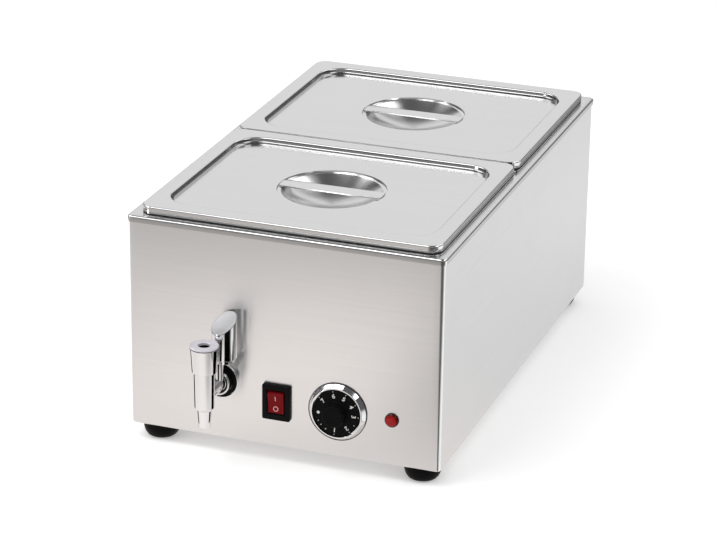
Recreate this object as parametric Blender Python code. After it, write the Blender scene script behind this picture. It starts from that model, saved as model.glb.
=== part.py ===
"""Wet bain marie with two lidded half-size pans, a drain tap and a thermostat, in metres, +Z up.

The front faces -Y. The origin is on the table, under the middle of the whole appliance, from the
tap to the cable gland.
"""

import math

import bmesh
import bpy
from mathutils import Matrix, Vector

# General clearances and mesh fineness
TOUCH_GAP = 0.0003
CUT_OVERRUN = 0.002
MERGE_DISTANCE = 0.000001
ROUND_STEPS = 24
SMALL_ROUND_STEPS = 12
FOOT_STEPS = 12
CORNER_STEPS = 3
LID_CORNER_STEPS = 4
FOLD_STEPS = 2
BEND_STEPS = 5
SMOOTH_ANGLE = math.radians(32)

# Deck and water tank, pressed from one sheet
SHEET = 0.001
DECK_WIDTH = 0.345
DECK_DEPTH = 0.550
DECK_TOP_Z = 0.251
DECK_CORNER = 0.006
SKIRT_HEIGHT = 0.0065
RIM_ROUND = 0.0025
DECK_LAND = 0.020
WELL_WIDTH = DECK_WIDTH - 2 * DECK_LAND
WELL_LENGTH = DECK_DEPTH - 2 * DECK_LAND
WELL_FLOOR_Z = 0.0985
WELL_CORNER = 0.024
WELL_FOOT_ROUND = 0.012
WELL_MOUTH_ROUND = 0.003
WELL_DRAFT = 0.004
WELL_CORNER_SHARE = 0.5

# Outer casing: front and both sides folded from one sheet
CASE_BOTTOM_Z = 0.0175
SKIRT_CLEARANCE = 0.0005
CASE_BEND = 0.0045
CASE_FLANGE = 0.012
CASE_TOP_FLANGE = 0.009
CASE_FOLD = 0.0026

# Bottom plate and back panel
PLATE_EDGE_HEIGHT = 0.010
PLATE_CLEARANCE = 0.001
VENT_LENGTH = 0.040
VENT_WIDTH = 0.004
VENT_PITCH = 0.010
VENT_COUNT = 4
VENT_FROM_END = 0.155

# Feet
FOOT_FROM_SIDE = 0.027
FOOT_FROM_END = 0.024
FOOT_TOP_RADIUS = 0.0175
FOOT_SHOULDER_RADIUS = 0.0155
FOOT_BASE_RADIUS = 0.0115
FOOT_BASE_ROUND = 0.002
FOOT_BOSS_RADIUS = 0.008
FOOT_COUNTERBORE = 0.0062
FOOT_COUNTERBORE_DEPTH = 0.010
FOOT_SCREW_HOLE = 0.0028
FOOT_SHOULDER_SHARE = 0.55
FOOT_FLARE_SHARE = 0.8

# Fasteners
M5_SHANK = 0.0025
M5_HEAD_RADIUS = 0.0048
M5_HEAD_HEIGHT = 0.003
M5_NUT_RADIUS = 0.0046
M5_NUT_HEIGHT = 0.004
M5_END = 0.0015
M4_SHANK = 0.002
M4_HOLE = 0.0023
M4_HEAD_RADIUS = 0.004
M4_HEAD_HEIGHT = 0.0024
M4_LENGTH = 0.008
BACK_SCREW_INSET = 0.007
BACK_SCREW_FROM_BOTTOM = 0.022
BACK_SCREW_FROM_TOP = 0.022

# Pans: half-size gastronorm, 100 mm deep, hung by their rims
PAN_SHEET = 0.0009
PAN_OVERLAP = 0.00975
PAN_SEAM = 0.0015
PAN_WIDTH = WELL_WIDTH + 2 * PAN_OVERLAP
PAN_LENGTH = (WELL_LENGTH + 2 * PAN_OVERLAP - PAN_SEAM) / 2
PAN_DEPTH = 0.100
PAN_RIM_CORNER = 0.013
PAN_RIM_HEIGHT = 0.0032
PAN_RIM_ROUND = 0.0014
PAN_FLANGE = 0.0125
PAN_BODY_CORNER = 0.034
PAN_TAPER = 0.010
PAN_MOUTH_ROUND = 0.003
PAN_FOOT_ROUND = 0.014
PAN_CORNER_SHARE = 0.7

# Bar across the well that carries the pans' inner rims
BAR_SHEET = 0.0012
BAR_WIDTH = 0.022
BAR_DROP = 0.012
BAR_END_CLEARANCE = 0.003
BRACKET_REACH = 0.014
BRACKET_DROP = 0.018
BRACKET_WALL_GAP = 0.0021

# Lids: sunk panel, with a ledged round finger dish under a flat strap
LID_SHEET = 0.0009
LID_OVERLAP = 0.00025
LID_WIDTH = PAN_WIDTH + 2 * LID_OVERLAP
LID_LENGTH = PAN_LENGTH + 2 * LID_OVERLAP
LID_RIM_CORNER = 0.0135
LID_RIM_HEIGHT = 0.0048
LID_RIM_ROUND = 0.0016
LID_BORDER_SIDE = 0.0175
LID_BORDER_END = 0.0205
LID_PANEL_CORNER = 0.030
LID_PANEL_DEPTH = 0.0055
LID_PANEL_ROUND = 0.0016
LID_PANEL_SLOPE = 0.0012
LID_CORNER_START_SHARE = 0.5
DISH_RADIUS = 0.056
DISH_LEDGE_WIDTH = 0.0045
DISH_LEDGE_DEPTH = 0.0015
DISH_LEDGE_SLOPE = 0.0007
DISH_DEPTH = 0.017
DISH_WALL_SLOPE = 0.006
DISH_FLOOR_ROUND = 0.012
DISH_MIDDLE_SHARE = 0.4
GRIP_WIDTH = 0.0185
GRIP_SHEET = 0.0018
GRIP_END_CLEARANCE = 0.0006
GRIP_END_STEPS = 6
GRIP_EDGE_ROUND = 0.0005

# Controls on the front, all on one line
CONTROL_Z = 0.068
SWITCH_FROM_DIAL = 0.0667
SWITCH_BEZEL_WIDTH = 0.0305
SWITCH_BEZEL_HEIGHT = 0.039
SWITCH_BEZEL_DEPTH = 0.0042
SWITCH_BEZEL_CHAMFER = 0.0012
SWITCH_BODY_WIDTH = 0.0265
SWITCH_BODY_HEIGHT = 0.0345
SWITCH_BODY_DEPTH = 0.024
SWITCH_FIT = 0.0004
ROCKER_WIDTH = 0.0173
ROCKER_RADIUS = 0.0125
ROCKER_CREST = 0.0050
ROCKER_TIP = 0.0066
ROCKER_CLEARANCE = 0.0004
ROCKER_PIVOT_DEPTH = 0.0012
ROCKER_TILT = math.radians(7)
ROCKER_HEEL = 0.0045
ROCKER_DISH_SHARES = (-0.35, 0, 0.35)
ROCKER_SIDE_STEPS = 3
SWITCH_POCKET_DEPTH = 0.010
BLADE_WIDTH = 0.0048
BLADE_LENGTH = 0.008
BLADE_SHEET = 0.0008
BLADE_SPACING_X = 0.012
BLADE_SPACING_Z = 0.012

DIAL_FROM_LAMP = 0.0585
DIAL_BASE_RADIUS = 0.0318
DIAL_FRONT_RADIUS = 0.0276
DIAL_BORE_RADIUS = 0.0263
DIAL_RING_DEPTH = 0.0056
DIAL_RING_ROUND = 0.0012
DIAL_FLOOR = 0.0008
DIAL_FLOOR_HOLE = 0.006
KNOB_FACE_RADIUS = 0.0256
KNOB_FACE_BACK = 0.0018
KNOB_FACE_FRONT = 0.0048
KNOB_FACE_ROUND = 0.0004
KNOB_GRIP_RADIUS = 0.0124
KNOB_GRIP_TAPER = 0.0008
KNOB_GRIP_FRONT = 0.0165
KNOB_GRIP_ROUND = 0.0016
KNOB_GRIP_FOOT = 0.0012
SHAFT_RADIUS = 0.003
SHAFT_FRONT = 0.0125
STAT_WIDTH = 0.036
STAT_DEPTH = 0.026
STAT_EDGE = 0.0015
STAT_BUSH_RADIUS = 0.0055
STAT_SHAFT_POCKET = 0.012

LAMP_FROM_SIDE = 0.054
LAMP_LENS_RADIUS = 0.0074
LAMP_LENS_HEIGHT = 0.0052
LAMP_LENS_STEPS = 6
LAMP_DOME_FULLNESS = 0.8
LAMP_FLANGE_RADIUS = 0.0070
LAMP_FLANGE_HEIGHT = 0.0010
LAMP_BARREL_RADIUS = 0.0056
LAMP_BARREL_LENGTH = 0.020
LAMP_HOLE_CLEARANCE = 0.0004
LAMP_NUT_RADIUS = 0.0080
LAMP_NUT_HEIGHT = 0.003
LAMP_PIN_RADIUS = 0.0008
LAMP_PIN_LENGTH = 0.006
LAMP_PIN_SPACING = 0.005

# Drain tap on the front
TAP_FROM_SWITCH = 0.0618
TAP_Z = 0.0843
TAP_REACH = 0.045
ESCUTCHEON_RADIUS = 0.0186
ESCUTCHEON_DEPTH = 0.0042
ESCUTCHEON_RIM = 0.0011
ESCUTCHEON_FLOOR = 0.0008
GASKET_FRONT = 0.0034
CHAMBER_RADIUS = 0.0136
CHAMBER_FRONT = 0.0128
CHAMBER_RIM = 0.0018
CHAMBER_DISH = 0.0016
BARREL_RADIUS = 0.0092
SPOUT_RADIUS = 0.0110
SPOUT_FOOT_RADIUS = 0.0104
SPOUT_TOP_Z = 0.1365
SPOUT_SHOULDER_Z = 0.0715
SPOUT_CHAMFER = 0.0030
NOZZLE_TOP_RADIUS = 0.0076
NOZZLE_TIP_RADIUS = 0.0062
NOZZLE_TIP_Z = 0.0492
NOZZLE_BORE = 0.0046
SLEEVE_BOTTOM_Z = 0.1106
SLEEVE_TOP_Z = 0.1368
SLEEVE_TOP_RADIUS = 0.0142
SLEEVE_BOTTOM_RADIUS = 0.0128
SLEEVE_NECK_RADIUS = 0.0090
CAP_RADIUS = 0.0152
CAP_TOP_Z = 0.1398
CAP_HOLE_RADIUS = 0.0064
CAP_EDGE_ROUND = 0.0009
TAIL_RADIUS = 0.0072
TAIL_BORE = 0.0050
TAIL_LENGTH = 0.024
TAIL_HOLE_CLEARANCE = 0.0005
HANDLE_X_OFFSET = 0.0096
HANDLE_REACH = 0.0150
HANDLE_RADIUS = 0.0131
HANDLE_BOTTOM_Z = 0.1085
HANDLE_CUT_Z = 0.1542
HANDLE_CUT_SLOPE = 0.715
HANDLE_CUT_TURN = math.radians(64)
HANDLE_EDGE = 0.0008
BONNET_RADIUS = 0.0085
BONNET_BOTTOM_Z = 0.0860
BONNET_TOP_Z = 0.1040
SPINDLE_RADIUS = 0.0032
SPINDLE_COLLAR_RADIUS = 0.0060
SPINDLE_POCKET = 0.012
SPINDLE_FIT = 0.0003
BACKNUT_RADIUS = 0.0135
BACKNUT_HEIGHT = 0.006

# Drain pipe from the well's floor to the tap
DRAIN_FROM_WELL_END = 0.034
DRAIN_PIPE_RADIUS = 0.0090
DRAIN_PIPE_BORE = 0.0076
DRAIN_BEND = 0.0125
DRAIN_END_FROM_PANEL = 0.0095
CLIP_RADIUS = 0.0103
CLIP_WIDTH = 0.008
CLIP_SCREW_RADIUS = 0.003
CLIP_SCREW_LENGTH = 0.010
CLIP_FROM_PIPE_END = 0.0016
CLIP_SCREW_SUNK = 0.0012
STRAINER_RADIUS = 0.0135
STRAINER_HEIGHT = 0.0022
STRAINER_ROUND = 0.0008
STRAINER_HOLE = 0.0016
STRAINER_HOLE_CIRCLE = 0.0070
STRAINER_HOLES = 6

# Heater under the well, its clamps and the heat sensors
ELEMENT_RADIUS = 0.004
ELEMENT_FROM_SIDE = 0.0475
ELEMENT_FROM_FRONT = 0.105
ELEMENT_FROM_BACK = 0.060
ELEMENT_HALF_WIDTH = WELL_WIDTH / 2 - ELEMENT_FROM_SIDE
ELEMENT_FRONT_Y = -WELL_LENGTH / 2 + ELEMENT_FROM_FRONT
ELEMENT_BACK_Y = WELL_LENGTH / 2 - ELEMENT_FROM_BACK
ELEMENT_LEG_X = 0.035
ELEMENT_BEND = 0.020
ELEMENT_TAIL_DROP = 0.028
ELEMENT_TAIL_BEND = 0.010
CLAMP_SHEET = 0.0015
CLAMP_WIDTH = 0.020
CLAMP_FOOT = 0.012
CLAMP_JOG = 0.008
CLAMP_FROM_FRONT = 0.060
CLAMP_FROM_BACK = 0.075
CLAMP_FRONT_Y = ELEMENT_FRONT_Y + CLAMP_FROM_FRONT
CLAMP_BACK_Y = ELEMENT_BACK_Y - CLAMP_FROM_BACK
CUTOUT_RADIUS = 0.008
CUTOUT_BODY_RADIUS = 0.0065
CUTOUT_CAP_HEIGHT = 0.004
CUTOUT_BODY_HEIGHT = 0.009
CUTOUT_Y = 0.020
BULB_RADIUS = 0.003
BULB_LENGTH = 0.080
BULB_FROM_FRONT = 0.059
BULB_Y = -WELL_LENGTH / 2 + BULB_FROM_FRONT
CAPILLARY_RADIUS = 0.0009
CAPILLARY_DROP = 0.014
CAPILLARY_BEND = 0.006
SADDLE_SHEET = 0.0008
SADDLE_WIDTH = 0.012
SADDLE_FOOT = 0.008

# Mains entry at the back
GLAND_FROM_SIDE = 0.0625
GLAND_Z = 0.048
GLAND_THREAD_RADIUS = 0.0078
GLAND_BORE = 0.0042
GLAND_HEX_RADIUS = 0.0118
GLAND_HEX_HEIGHT = 0.005
GLAND_DOME_RADIUS = 0.0102
GLAND_DOME_HEIGHT = 0.013
GLAND_DOME_ROUND = 0.004
GLAND_INSIDE = 0.010
GLAND_NUT_RADIUS = 0.0112
GLAND_NUT_HEIGHT = 0.0045
BLOCK_LENGTH = 0.046
BLOCK_DEPTH = 0.022
BLOCK_HEIGHT = 0.018
BLOCK_STEP = 0.007
BLOCK_FROM_BACK = 0.050
BLOCK_POLES = 3
BLOCK_POLE_PITCH = 0.0145
BLOCK_SCREW_HOLE = 0.0026
BLOCK_WIRE_HOLE = 0.0022
BLOCK_HOLE_DEPTH = 0.006
EARTH_FROM_GLAND = 0.055
EARTH_FROM_BACK = 0.045

# Where the casing's walls and the well's floor come
LAMP_X = DECK_WIDTH / 2 - LAMP_FROM_SIDE
DIAL_X = LAMP_X - DIAL_FROM_LAMP
SWITCH_X = DIAL_X - SWITCH_FROM_DIAL
TAP_X = SWITCH_X - TAP_FROM_SWITCH
GLAND_X = DECK_WIDTH / 2 - GLAND_FROM_SIDE
EARTH_X = GLAND_X - EARTH_FROM_GLAND
CASE_WIDTH = DECK_WIDTH - 2 * (SHEET + SKIRT_CLEARANCE)
CASE_FRONT_Y = -DECK_DEPTH / 2 + SHEET + SKIRT_CLEARANCE
PANEL_BACK_FACE_Y = DECK_DEPTH / 2 - SHEET - SKIRT_CLEARANCE
CASE_BACK_Y = PANEL_BACK_FACE_Y - SHEET - TOUCH_GAP
CASE_TOP_Z = DECK_TOP_Z - SHEET - TOUCH_GAP
PANEL_TOP_Z = DECK_TOP_Z - RIM_ROUND
PANEL_INNER_Y = CASE_FRONT_Y + SHEET
UNDER_WELL_Z = WELL_FLOOR_Z - SHEET
PLATE_BOTTOM_Z = CASE_BOTTOM_Z + SHEET + TOUCH_GAP
PLATE_TOP_Z = PLATE_BOTTOM_Z + SHEET
PAN_RIM_TOP_Z = DECK_TOP_Z + TOUCH_GAP + PAN_RIM_HEIGHT
LID_EDGE_Z = PAN_RIM_TOP_Z + TOUCH_GAP
LID_TOP_Z = LID_EDGE_Z + LID_RIM_HEIGHT
LID_PANEL_Z = LID_TOP_Z - LID_PANEL_DEPTH
LID_LEDGE_Z = LID_PANEL_Z - DISH_LEDGE_DEPTH
PAN_CENTRE_Y = (PAN_LENGTH + PAN_SEAM) / 2
DRAIN_Y = -WELL_LENGTH / 2 + DRAIN_FROM_WELL_END
TAP_OVERHANG = TAP_REACH + CAP_RADIUS - SHEET - SKIRT_CLEARANCE
GLAND_OVERHANG = GLAND_HEX_HEIGHT + GLAND_DOME_HEIGHT + TOUCH_GAP - SHEET - SKIRT_CLEARANCE
DECK_CENTRE_Y = (TAP_OVERHANG - GLAND_OVERHANG) / 2


def clear_scene():
    for obj in list(bpy.data.objects):
        bpy.data.objects.remove(obj, do_unlink=True)


def material(name, colour, roughness, metallic):
    made = bpy.data.materials.new(name)
    made.use_nodes = True
    shader = made.node_tree.nodes["Principled BSDF"]
    shader.inputs["Base Color"].default_value = (*colour, 1.0)
    shader.inputs["Roughness"].default_value = roughness
    shader.inputs["Metallic"].default_value = metallic
    return made


def steel(name, roughness=0.3):
    return material(name, (0.62, 0.61, 0.60), roughness, 1.0)


def chrome(name):
    return material(name, (0.80, 0.80, 0.80), 0.08, 1.0)


def black(name, roughness=0.45):
    return material(name, (0.015, 0.015, 0.016), roughness, 0.0)


def add_piece(name, bm, surface, location=(0, 0, 0), parent=None):
    mesh = bpy.data.meshes.new(name)
    bm.to_mesh(mesh)
    bm.free()
    mesh.materials.append(surface)
    mesh.shade_smooth()
    mesh.set_sharp_from_angle(angle=SMOOTH_ANGLE)
    obj = bpy.data.objects.new(name, mesh)
    bpy.context.scene.collection.objects.link(obj)
    obj.parent = parent or frame
    obj.location = location
    return obj


def rounded_rectangle(width, length, radius, z, steps=CORNER_STEPS):
    """Points of a rounded rectangle about the Z axis, anticlockwise."""
    points = []
    for corner in range(4):
        start = corner * math.pi / 2
        sign_x = 1 if corner in (0, 3) else -1
        sign_y = 1 if corner in (0, 1) else -1
        centre_x = sign_x * (width / 2 - radius)
        centre_y = sign_y * (length / 2 - radius)
        for step in range(steps + 1):
            angle = start + step / steps * math.pi / 2
            x = centre_x + radius * math.cos(angle)
            y = centre_y + radius * math.sin(angle)
            points.append((x, y, z))
    return points


def circle(radius, z, steps=ROUND_STEPS, start=0):
    """Points of a circle about the Z axis, anticlockwise, begun by a share of one step."""
    turn = 2 * math.pi / steps
    angles = [(i + start) * turn for i in range(steps)]
    return [(radius * math.cos(angle), radius * math.sin(angle), z) for angle in angles]


def hexagon(corner_radius, z):
    """A hexagon with a point at each corner and each flat's middle, to bridge to a 12-sided circle."""
    flat_share = math.cos(math.pi / 6)
    turn = math.pi / 6
    radii = [corner_radius, corner_radius * flat_share]
    return [
        (radii[i % 2] * math.cos(i * turn), radii[i % 2] * math.sin(i * turn), z) for i in range(12)
    ]


def filleted(points, steps=FOLD_STEPS):
    """A polyline of (a, b, radius) with each corner rounded to its radius."""
    flat = []
    for i, (a, b, radius) in enumerate(points):
        here = Vector((a, b))
        if radius == 0 or i in (0, len(points) - 1):
            flat.append(here)
            continue
        before = (Vector(points[i - 1][:2]) - here).normalized()
        after = (Vector(points[i + 1][:2]) - here).normalized()
        half = before.angle(after) / 2
        reach = radius / math.tan(half)
        centre = here + (before + after).normalized() * (radius / math.sin(half))
        first = here + before * reach - centre
        last = here + after * reach - centre
        sweep = first.angle_signed(last)
        for step in range(steps + 1):
            share = step / steps
            turned_by = Matrix.Rotation(-sweep * share, 2)
            flat.append(centre + turned_by @ first)
    return flat


def add_loop(bm, points):
    verts = [bm.verts.new(point) for point in points]
    edges = [bm.edges.new((verts[i - 1], verts[i])) for i in range(len(verts))]
    return verts, edges


def join_loops(bm, near, far):
    """Faces between two closed loops: point to point where the counts match, else bridged."""
    near_verts, near_edges = near
    far_verts, far_edges = far
    if len(near_verts) != len(far_verts):
        bmesh.ops.bridge_loops(bm, edges=near_edges + far_edges)
        return
    for i in range(len(near_verts)):
        bm.faces.new((near_verts[i - 1], near_verts[i], far_verts[i], far_verts[i - 1]))


def skin(bm, outlines, cap_first=False, cap_last=False):
    """Joins closed outlines in turn, and fills the ends that are asked for."""
    loops = [add_loop(bm, points) for points in outlines]
    for near, far in zip(loops, loops[1:]):
        join_loops(bm, near, far)
    for wanted, loop in ((cap_first, loops[0]), (cap_last, loops[-1])):
        if wanted:
            bm.faces.new(loop[0])
    bmesh.ops.recalc_face_normals(bm, faces=bm.faces[:])


def closed_skin(outlines):
    """Joins outlines in turn and back to the first, as round a piece with a bore."""
    bm = bmesh.new()
    loops = [add_loop(bm, points) for points in outlines]
    for near, far in zip(loops, loops[1:] + loops[:1]):
        join_loops(bm, near, far)
    bmesh.ops.recalc_face_normals(bm, faces=bm.faces[:])
    return bm


def lofted(name, outlines, surface, **place):
    bm = bmesh.new()
    skin(bm, outlines, cap_first=True, cap_last=True)
    return add_piece(name, bm, surface, **place)


def pressed_sheet(name, outlines, thickness, surface, cap_last=True, **place):
    """A sheet whose seen side runs through the outlines. The metal lies behind that side."""
    bm = bmesh.new()
    skin(bm, outlines, cap_last=cap_last)
    turn_up(bm)
    obj = add_piece(name, bm, surface, **place)
    thicken(obj, thickness)
    return obj


def turn_up(bm):
    """Turns an open surface so that its faces look up, taken together."""
    bmesh.ops.recalc_face_normals(bm, faces=bm.faces[:])
    if sum(face.normal.z * face.calc_area() for face in bm.faces) < 0:
        bmesh.ops.reverse_faces(bm, faces=bm.faces[:])


def thicken(obj, thickness):
    solid = obj.modifiers.new("Sheet", "SOLIDIFY")
    solid.thickness = thickness
    solid.offset = -1
    solid.use_even_offset = True
    solid.use_quality_normals = True


def spun(profile, steps=ROUND_STEPS, closed=False):
    """A bmesh turned about Z from (radius, height) points."""
    bm = bmesh.new()
    verts = [bm.verts.new((radius, 0, height)) for radius, height in profile]
    ends = zip(verts, verts[1:] + verts[:1]) if closed else zip(verts, verts[1:])
    edges = [bm.edges.new(pair) for pair in ends]
    bmesh.ops.spin(
        bm,
        geom=verts + edges,
        cent=(0, 0, 0),
        axis=(0, 0, 1),
        angle=2 * math.pi,
        steps=steps,
        use_merge=True,
    )
    bmesh.ops.remove_doubles(bm, verts=bm.verts[:], dist=MERGE_DISTANCE)
    bmesh.ops.recalc_face_normals(bm, faces=bm.faces[:])
    return bm


def face_front(bm):
    """Turns a piece built along +Z to point out of the front."""
    bmesh.ops.rotate(bm, verts=bm.verts[:], matrix=Matrix.Rotation(math.pi / 2, 3, "X"))


def face_back(bm):
    """Turns a piece built along +Z to point out of the back."""
    bmesh.ops.rotate(bm, verts=bm.verts[:], matrix=Matrix.Rotation(-math.pi / 2, 3, "X"))


def turned(name, profile, surface, steps=ROUND_STEPS, closed=False, front=False, **place):
    bm = spun(profile, steps, closed)
    if front:
        face_front(bm)
    return add_piece(name, bm, surface, **place)


def box(bm, low, high):
    """Adds a box between two corners."""
    size = Vector(high) - Vector(low)
    middle = (Vector(high) + Vector(low)) / 2
    matrix = Matrix.Translation(middle) @ Matrix.Diagonal((*size, 1.0))
    return bmesh.ops.create_cube(bm, size=1.0, matrix=matrix)["verts"]


def rod(bm, radius, start, end, steps=SMALL_ROUND_STEPS):
    """Adds a round rod between two points."""
    start, end = Vector(start), Vector(end)
    along = end - start
    turn = along.to_track_quat("Z", "Y").to_matrix().to_4x4()
    matrix = Matrix.Translation((start + end) / 2) @ turn
    return bmesh.ops.create_cone(
        bm,
        cap_ends=True,
        segments=steps,
        radius1=radius,
        radius2=radius,
        depth=along.length,
        matrix=matrix,
    )["verts"]


def helper(name, bm, parent=None):
    """A hidden shape that cuts or joins another piece."""
    mesh = bpy.data.meshes.new(name)
    bmesh.ops.recalc_face_normals(bm, faces=bm.faces[:])
    bm.to_mesh(mesh)
    bm.free()
    obj = bpy.data.objects.new(name, mesh)
    bpy.context.scene.collection.objects.link(obj)
    obj.parent = parent or frame
    obj.hide_render = True
    obj.display_type = "WIRE"
    return obj


def combine(obj, other, operation, solver="EXACT"):
    boolean = obj.modifiers.new(operation.title(), "BOOLEAN")
    boolean.operation = operation
    boolean.object = other
    boolean.solver = solver
    return boolean


def bevelled(obj, width, segments=2):
    bevel = obj.modifiers.new("Edges", "BEVEL")
    bevel.width = width
    bevel.segments = segments
    bevel.limit_method = "ANGLE"
    bevel.angle_limit = math.radians(50)
    return bevel


def wire(name, points, radius, surface, resolution=1):
    """A round rod bent along points, as a curve with filled ends."""
    curve = bpy.data.curves.new(name, "CURVE")
    curve.dimensions = "3D"
    curve.bevel_depth = radius
    curve.bevel_resolution = resolution
    curve.use_fill_caps = True
    spline = curve.splines.new("POLY")
    spline.points.add(len(points) - 1)
    for point, place in zip(spline.points, points):
        point.co = (*place, 1.0)
    curve.materials.append(surface)
    obj = bpy.data.objects.new(name, curve)
    bpy.context.scene.collection.objects.link(obj)
    obj.parent = frame
    return obj


def bent_route(corners, bend, steps=3):
    """The route through the corners with each corner turned at the bend radius."""
    corners = [Vector(corner) for corner in corners]
    route = [corners[0]]
    for before, here, after in zip(corners, corners[1:], corners[2:]):
        back = (before - here).normalized()
        on = (after - here).normalized()
        half = back.angle(on) / 2
        reach = bend / math.tan(half)
        centre = here + (back + on).normalized() * (bend / math.sin(half))
        first = here + back * reach - centre
        last = here + on * reach - centre
        axis = first.cross(last).normalized()
        sweep = first.angle(last)
        for step in range(steps + 1):
            route.append(centre + Matrix.Rotation(sweep * step / steps, 3, axis) @ first)
    route.append(corners[-1])
    return route


def blended(start, end, share):
    return start + (end - start) * share


def make_water_tank():
    """Deck, rolled rim and well in one pressing, with the drain hole in its floor."""
    inset = (DECK_WIDTH - WELL_WIDTH) / 2
    end_inset = (DECK_DEPTH - WELL_LENGTH) / 2
    profile = filleted(
        [
            (0, DECK_TOP_Z - SKIRT_HEIGHT, 0),
            (0, DECK_TOP_Z, RIM_ROUND),
            (inset, DECK_TOP_Z, WELL_MOUTH_ROUND),
            (inset + WELL_DRAFT, WELL_FLOOR_Z, WELL_FOOT_ROUND),
            (inset + WELL_DRAFT + 2 * WELL_FOOT_ROUND, WELL_FLOOR_Z, 0),
        ]
    )
    outlines = []
    for across, z in profile:
        share = min(across / inset, 1)
        past = max(across - inset, 0)
        along = share * end_inset + past
        corner = blended(DECK_CORNER, WELL_CORNER, share) - past * WELL_CORNER_SHARE
        outlines.append(
            rounded_rectangle(DECK_WIDTH - 2 * across, DECK_DEPTH - 2 * along, corner, z)
        )
    tank = pressed_sheet("water_tank", outlines, SHEET, steel("tank_steel", 0.35))
    bm = bmesh.new()
    middle = (TAP_X, DRAIN_Y, WELL_FLOOR_Z)
    reach = Vector((0, 0, SHEET + CUT_OVERRUN))
    rod(bm, DRAIN_PIPE_BORE, Vector(middle) - reach, Vector(middle) + reach)
    combine(tank, helper("drain_hole", bm), "DIFFERENCE")
    return tank


def make_outer_casing():
    """Front and sides folded from one sheet, turned in at the top, bottom and back edges."""
    half = CASE_WIDTH / 2
    quarter = math.pi / 2
    path = [(-half + CASE_FLANGE, CASE_BACK_Y)]
    corners = ((-1, 1, quarter), (-1, -1, 2 * quarter), (1, -1, 3 * quarter), (1, 1, 0))
    for side, end, start in corners:
        end_y = CASE_BACK_Y - CASE_BEND if end > 0 else CASE_FRONT_Y + CASE_BEND
        for step in range(CORNER_STEPS + 1):
            angle = start + quarter * step / CORNER_STEPS
            x = side * (half - CASE_BEND) + CASE_BEND * math.cos(angle)
            path.append((x, end_y + CASE_BEND * math.sin(angle)))
    path.append((half - CASE_FLANGE, CASE_BACK_Y))
    back_folds = CORNER_STEPS + 1
    bm = bmesh.new()

    def turned_in(flange, z):
        """The path drawn in by the flange width, at one height."""
        drawn = []
        for x, y in path:
            inner_x = max(-half + flange, min(half - flange, x))
            inner_y = max(CASE_FRONT_Y + flange, y)
            drawn.append((inner_x, inner_y, z))
        return drawn

    rows = [
        turned_in(CASE_FLANGE, CASE_BOTTOM_Z),
        turned_in(CASE_FOLD, CASE_BOTTOM_Z),
        [(x, y, CASE_BOTTOM_Z + CASE_FOLD) for x, y in path],
        [(x, y, CASE_TOP_Z - CASE_FOLD) for x, y in path],
        turned_in(CASE_FOLD, CASE_TOP_Z),
        turned_in(CASE_TOP_FLANGE, CASE_TOP_Z),
    ]
    rows = [[bm.verts.new(point) for point in row] for row in rows]
    for low, high in zip(rows, rows[1:]):
        for i in range(len(path) - 1):
            if low is not rows[2] and (i < back_folds or i > len(path) - 2 - back_folds):
                continue
            bm.faces.new((low[i], low[i + 1], high[i + 1], high[i]))
    bmesh.ops.remove_doubles(bm, verts=bm.verts[:], dist=MERGE_DISTANCE)
    loose = [vert for vert in bm.verts if not vert.link_faces]
    bmesh.ops.delete(bm, geom=loose, context="VERTS")
    bmesh.ops.recalc_face_normals(bm, faces=bm.faces[:])
    front = min(bm.faces, key=lambda face: face.calc_center_median().y)
    if front.normal.y > 0:
        bmesh.ops.reverse_faces(bm, faces=bm.faces[:])
    casing = add_piece("outer_casing", bm, steel("casing_steel", 0.34))
    thicken(casing, SHEET)
    cut_control_holes(casing)
    return casing


def cut_control_holes(casing):
    """The holes in the front for the tap, the switch, the dial's shaft and the lamp."""
    bm = bmesh.new()
    front = CASE_FRONT_Y - CUT_OVERRUN
    back = PANEL_INNER_Y + CUT_OVERRUN
    holes = (
        (TAP_X, TAP_Z, TAIL_RADIUS + TAIL_HOLE_CLEARANCE),
        (DIAL_X, CONTROL_Z, STAT_BUSH_RADIUS + TAIL_HOLE_CLEARANCE),
        (LAMP_X, CONTROL_Z, LAMP_BARREL_RADIUS + LAMP_HOLE_CLEARANCE),
    )
    for x, z, radius in holes:
        rod(bm, radius, (x, front, z), (x, back, z))
    half_width = SWITCH_BODY_WIDTH / 2 + SWITCH_FIT
    half_height = SWITCH_BODY_HEIGHT / 2 + SWITCH_FIT
    box(
        bm,
        (SWITCH_X - half_width, front, CONTROL_Z - half_height),
        (SWITCH_X + half_width, back, CONTROL_Z + half_height),
    )
    combine(casing, helper("control_holes", bm), "DIFFERENCE")


def back_screw_places():
    side = CASE_WIDTH / 2 - BACK_SCREW_INSET
    low = CASE_BOTTOM_Z + BACK_SCREW_FROM_BOTTOM
    high = CASE_TOP_Z - BACK_SCREW_FROM_TOP
    return {
        "bottom_left": (-side, low),
        "bottom_right": (side, low),
        "top_left": (-side, high),
        "top_right": (side, high),
    }


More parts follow.
